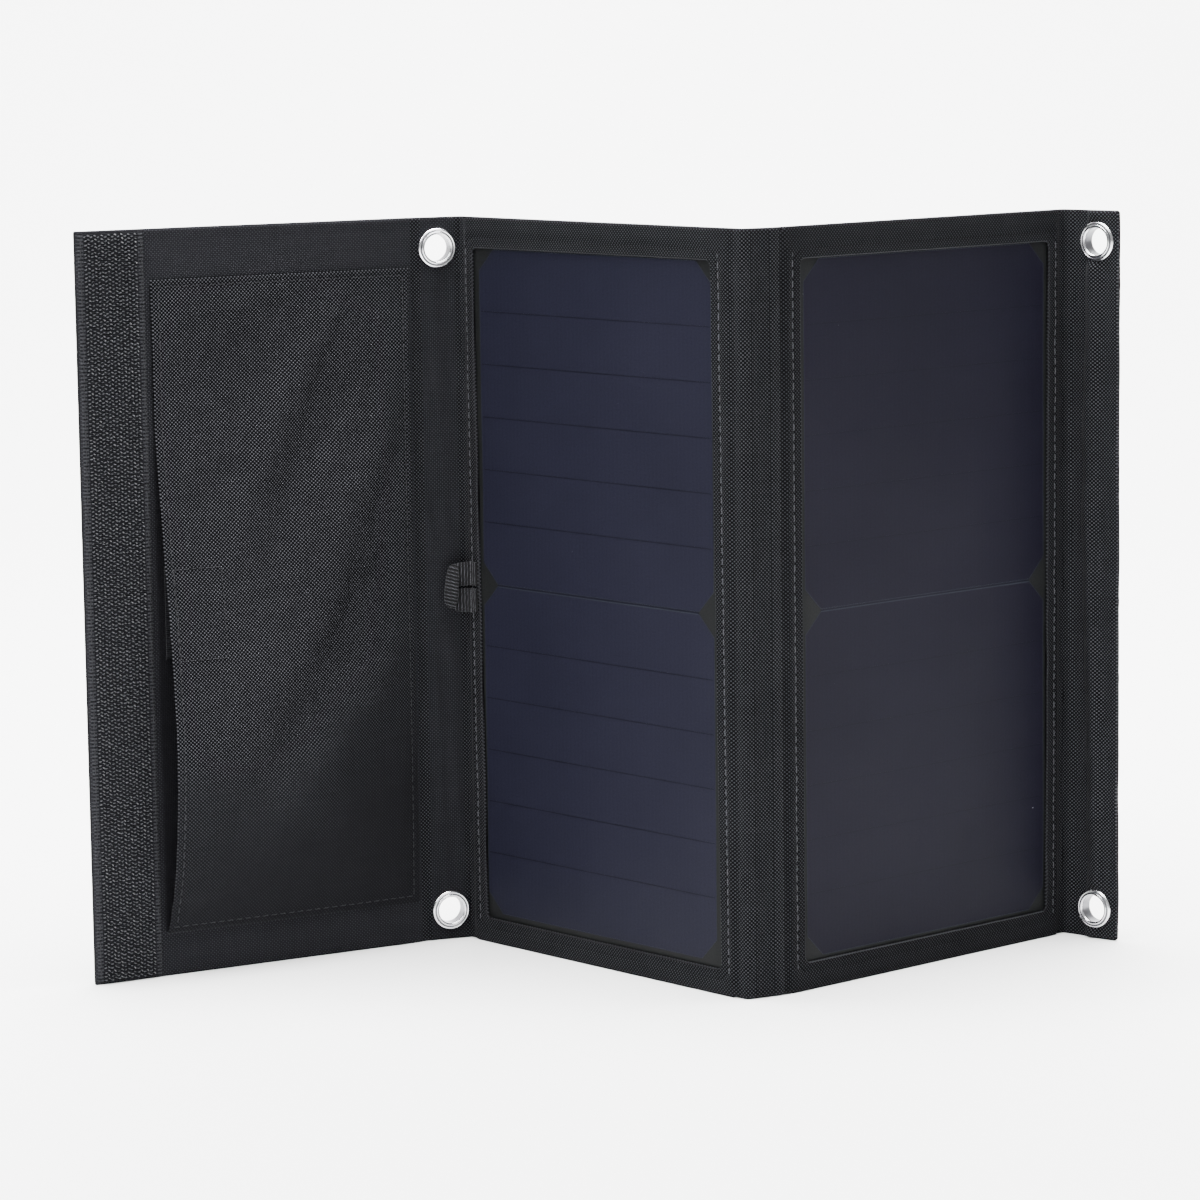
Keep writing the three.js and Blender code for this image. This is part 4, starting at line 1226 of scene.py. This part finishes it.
def add_stage():
    """A floor that turns up into a back wall."""
    floor = Shader("studio_floor", (0.86, 0.86, 0.86), 0.7)
    faint = floor.noise(floor.place(), 3.0)
    material = floor.finish(floor.mix(faint, (0.91, 0.91, 0.91), (0.94, 0.94, 0.94)))
    run = np.concatenate([[-12.0, -8.0, -5.0, -3.5], np.linspace(-2.2, 1.2, 18)])
    curve = [(y, 0.0) for y in run]
    curve += [(1.2 + 0.8 * math.sin(a), 0.8 - 0.8 * math.cos(a))
              for a in np.linspace(0.1, math.pi / 2, 16)]
    curve += [(2.0, z) for z in np.linspace(1.0, 2.6, 6)]
    xs = np.array([-12, -8, -5, -3, -2, -1, 0, 1, 2, 3, 5, 8, 12.0])
    points = np.array([[x, y, z] for x in xs for y, z in curve])
    index = np.arange(len(points)).reshape(len(xs), len(curve))
    quads = np.stack([index[:-1, :-1], index[1:, :-1], index[1:, 1:], index[:-1, 1:]], -1)
    mesh = bpy.data.meshes.new("studio_floor")
    mesh.from_pydata(points.tolist(), [], quads.reshape(-1, 4).tolist())
    mesh.polygons.foreach_set("use_smooth", np.ones(len(mesh.polygons), bool))
    mesh.materials.append(material)
    backdrop = bpy.data.objects.new("studio_floor", mesh)
    bpy.context.scene.collection.objects.link(backdrop)


def add_light(name, kind, at, aim, power):
    data = bpy.data.lights.new(name, kind)
    data.energy = power
    light = bpy.data.objects.new(name, data)
    light.location = at
    light.rotation_euler = (Vector(aim) - Vector(at)).to_track_quat("-Z", "Y").to_euler()
    bpy.context.scene.collection.objects.link(light)
    return data


def add_lights():
    world = bpy.data.worlds.new("studio")
    world.use_nodes = True
    sky = world.node_tree.nodes["Background"]
    sky.inputs["Color"].default_value = (1, 1, 1, 1)
    sky.inputs["Strength"].default_value = 0.4
    bpy.context.scene.world = world
    for name, at, aim, size, power in (
        ("key", (-1.3, -1.25, 1.6), (0, 0, 0.13), 0.9, 42),
        ("overhead", (0, -0.5, 2.3), (0, -0.5, 0), 2.2, 235),
        ("backdrop", (0, 0.5, 2.2), (0, 2.0, 0.7), 1.6, 280),
    ):
        add_light(name, "AREA", at, aim, power).size = size
    add_light("ceiling", "SUN", (0, 0, 3), (0, 0, 0), 1.6).angle = math.radians(50)


def dress_nodes(m):
    """A material for each CAD node that stays: boards, cells, leads, controller."""
    looks = (("_cell", "bare_cell"), ("usb_socket", "steel"), ("ribbon", "copper"),
             ("controller_board", "circuit"), ("backing_board", "board"),
             ("stiffener", "board"), ("lead", "lead"), ("", "case"))
    for name, node in frame["nodes"].items():
        look = next(look for word, look in looks if word in name)
        node.data.materials.clear()
        node.data.materials.append(m[look])


def main():
    add_camera()
    add_lights()
    add_stage()
    m = make_materials()
    for seed, name in ((21, "panel_1"), (22, "panel_2")):
        panel_front(name, m)
        laminate(name, m)
        tray(f"{name}_rear_cover", name, (CREASE, FAR_CREASE), PANEL, -1.42, m, seed,
             f"{name}_back_cover")
        panel_stitches(name, m)
    thin_leaf("eyelet_spine", (CREASE, WIDTH["eyelet_spine"] - CREASE), m, 71, 0.42, "spine")
    thin_leaf("centre_spine", (CREASE, WIDTH["centre_spine"] - CREASE), m, 72, 0.15)
    thin_leaf("end_flap", (CREASE, WIDTH["end_flap"]), m, 73, 0.34, "flap", free_right=True)
    for leaf in EYELETS:
        eyelets(leaf, m)
    for seed, (joint, left, right, valley) in enumerate(CREASES, 81):
        crease(joint, left, right, valley, m, seed)
    lining(m)
    tray("pocket_panel_rear_cover", "pocket_panel", (0, WIDTH["pocket_panel"] - CREASE),
         POCKET_PANEL, -0.9, m, 52, "pocket_panel_back_cover", thin_left=False)
    for piece in (pocket, patches, hook_tape, tape_stitches, loop_tape, webbing, dress_nodes):
        piece(m)


main()
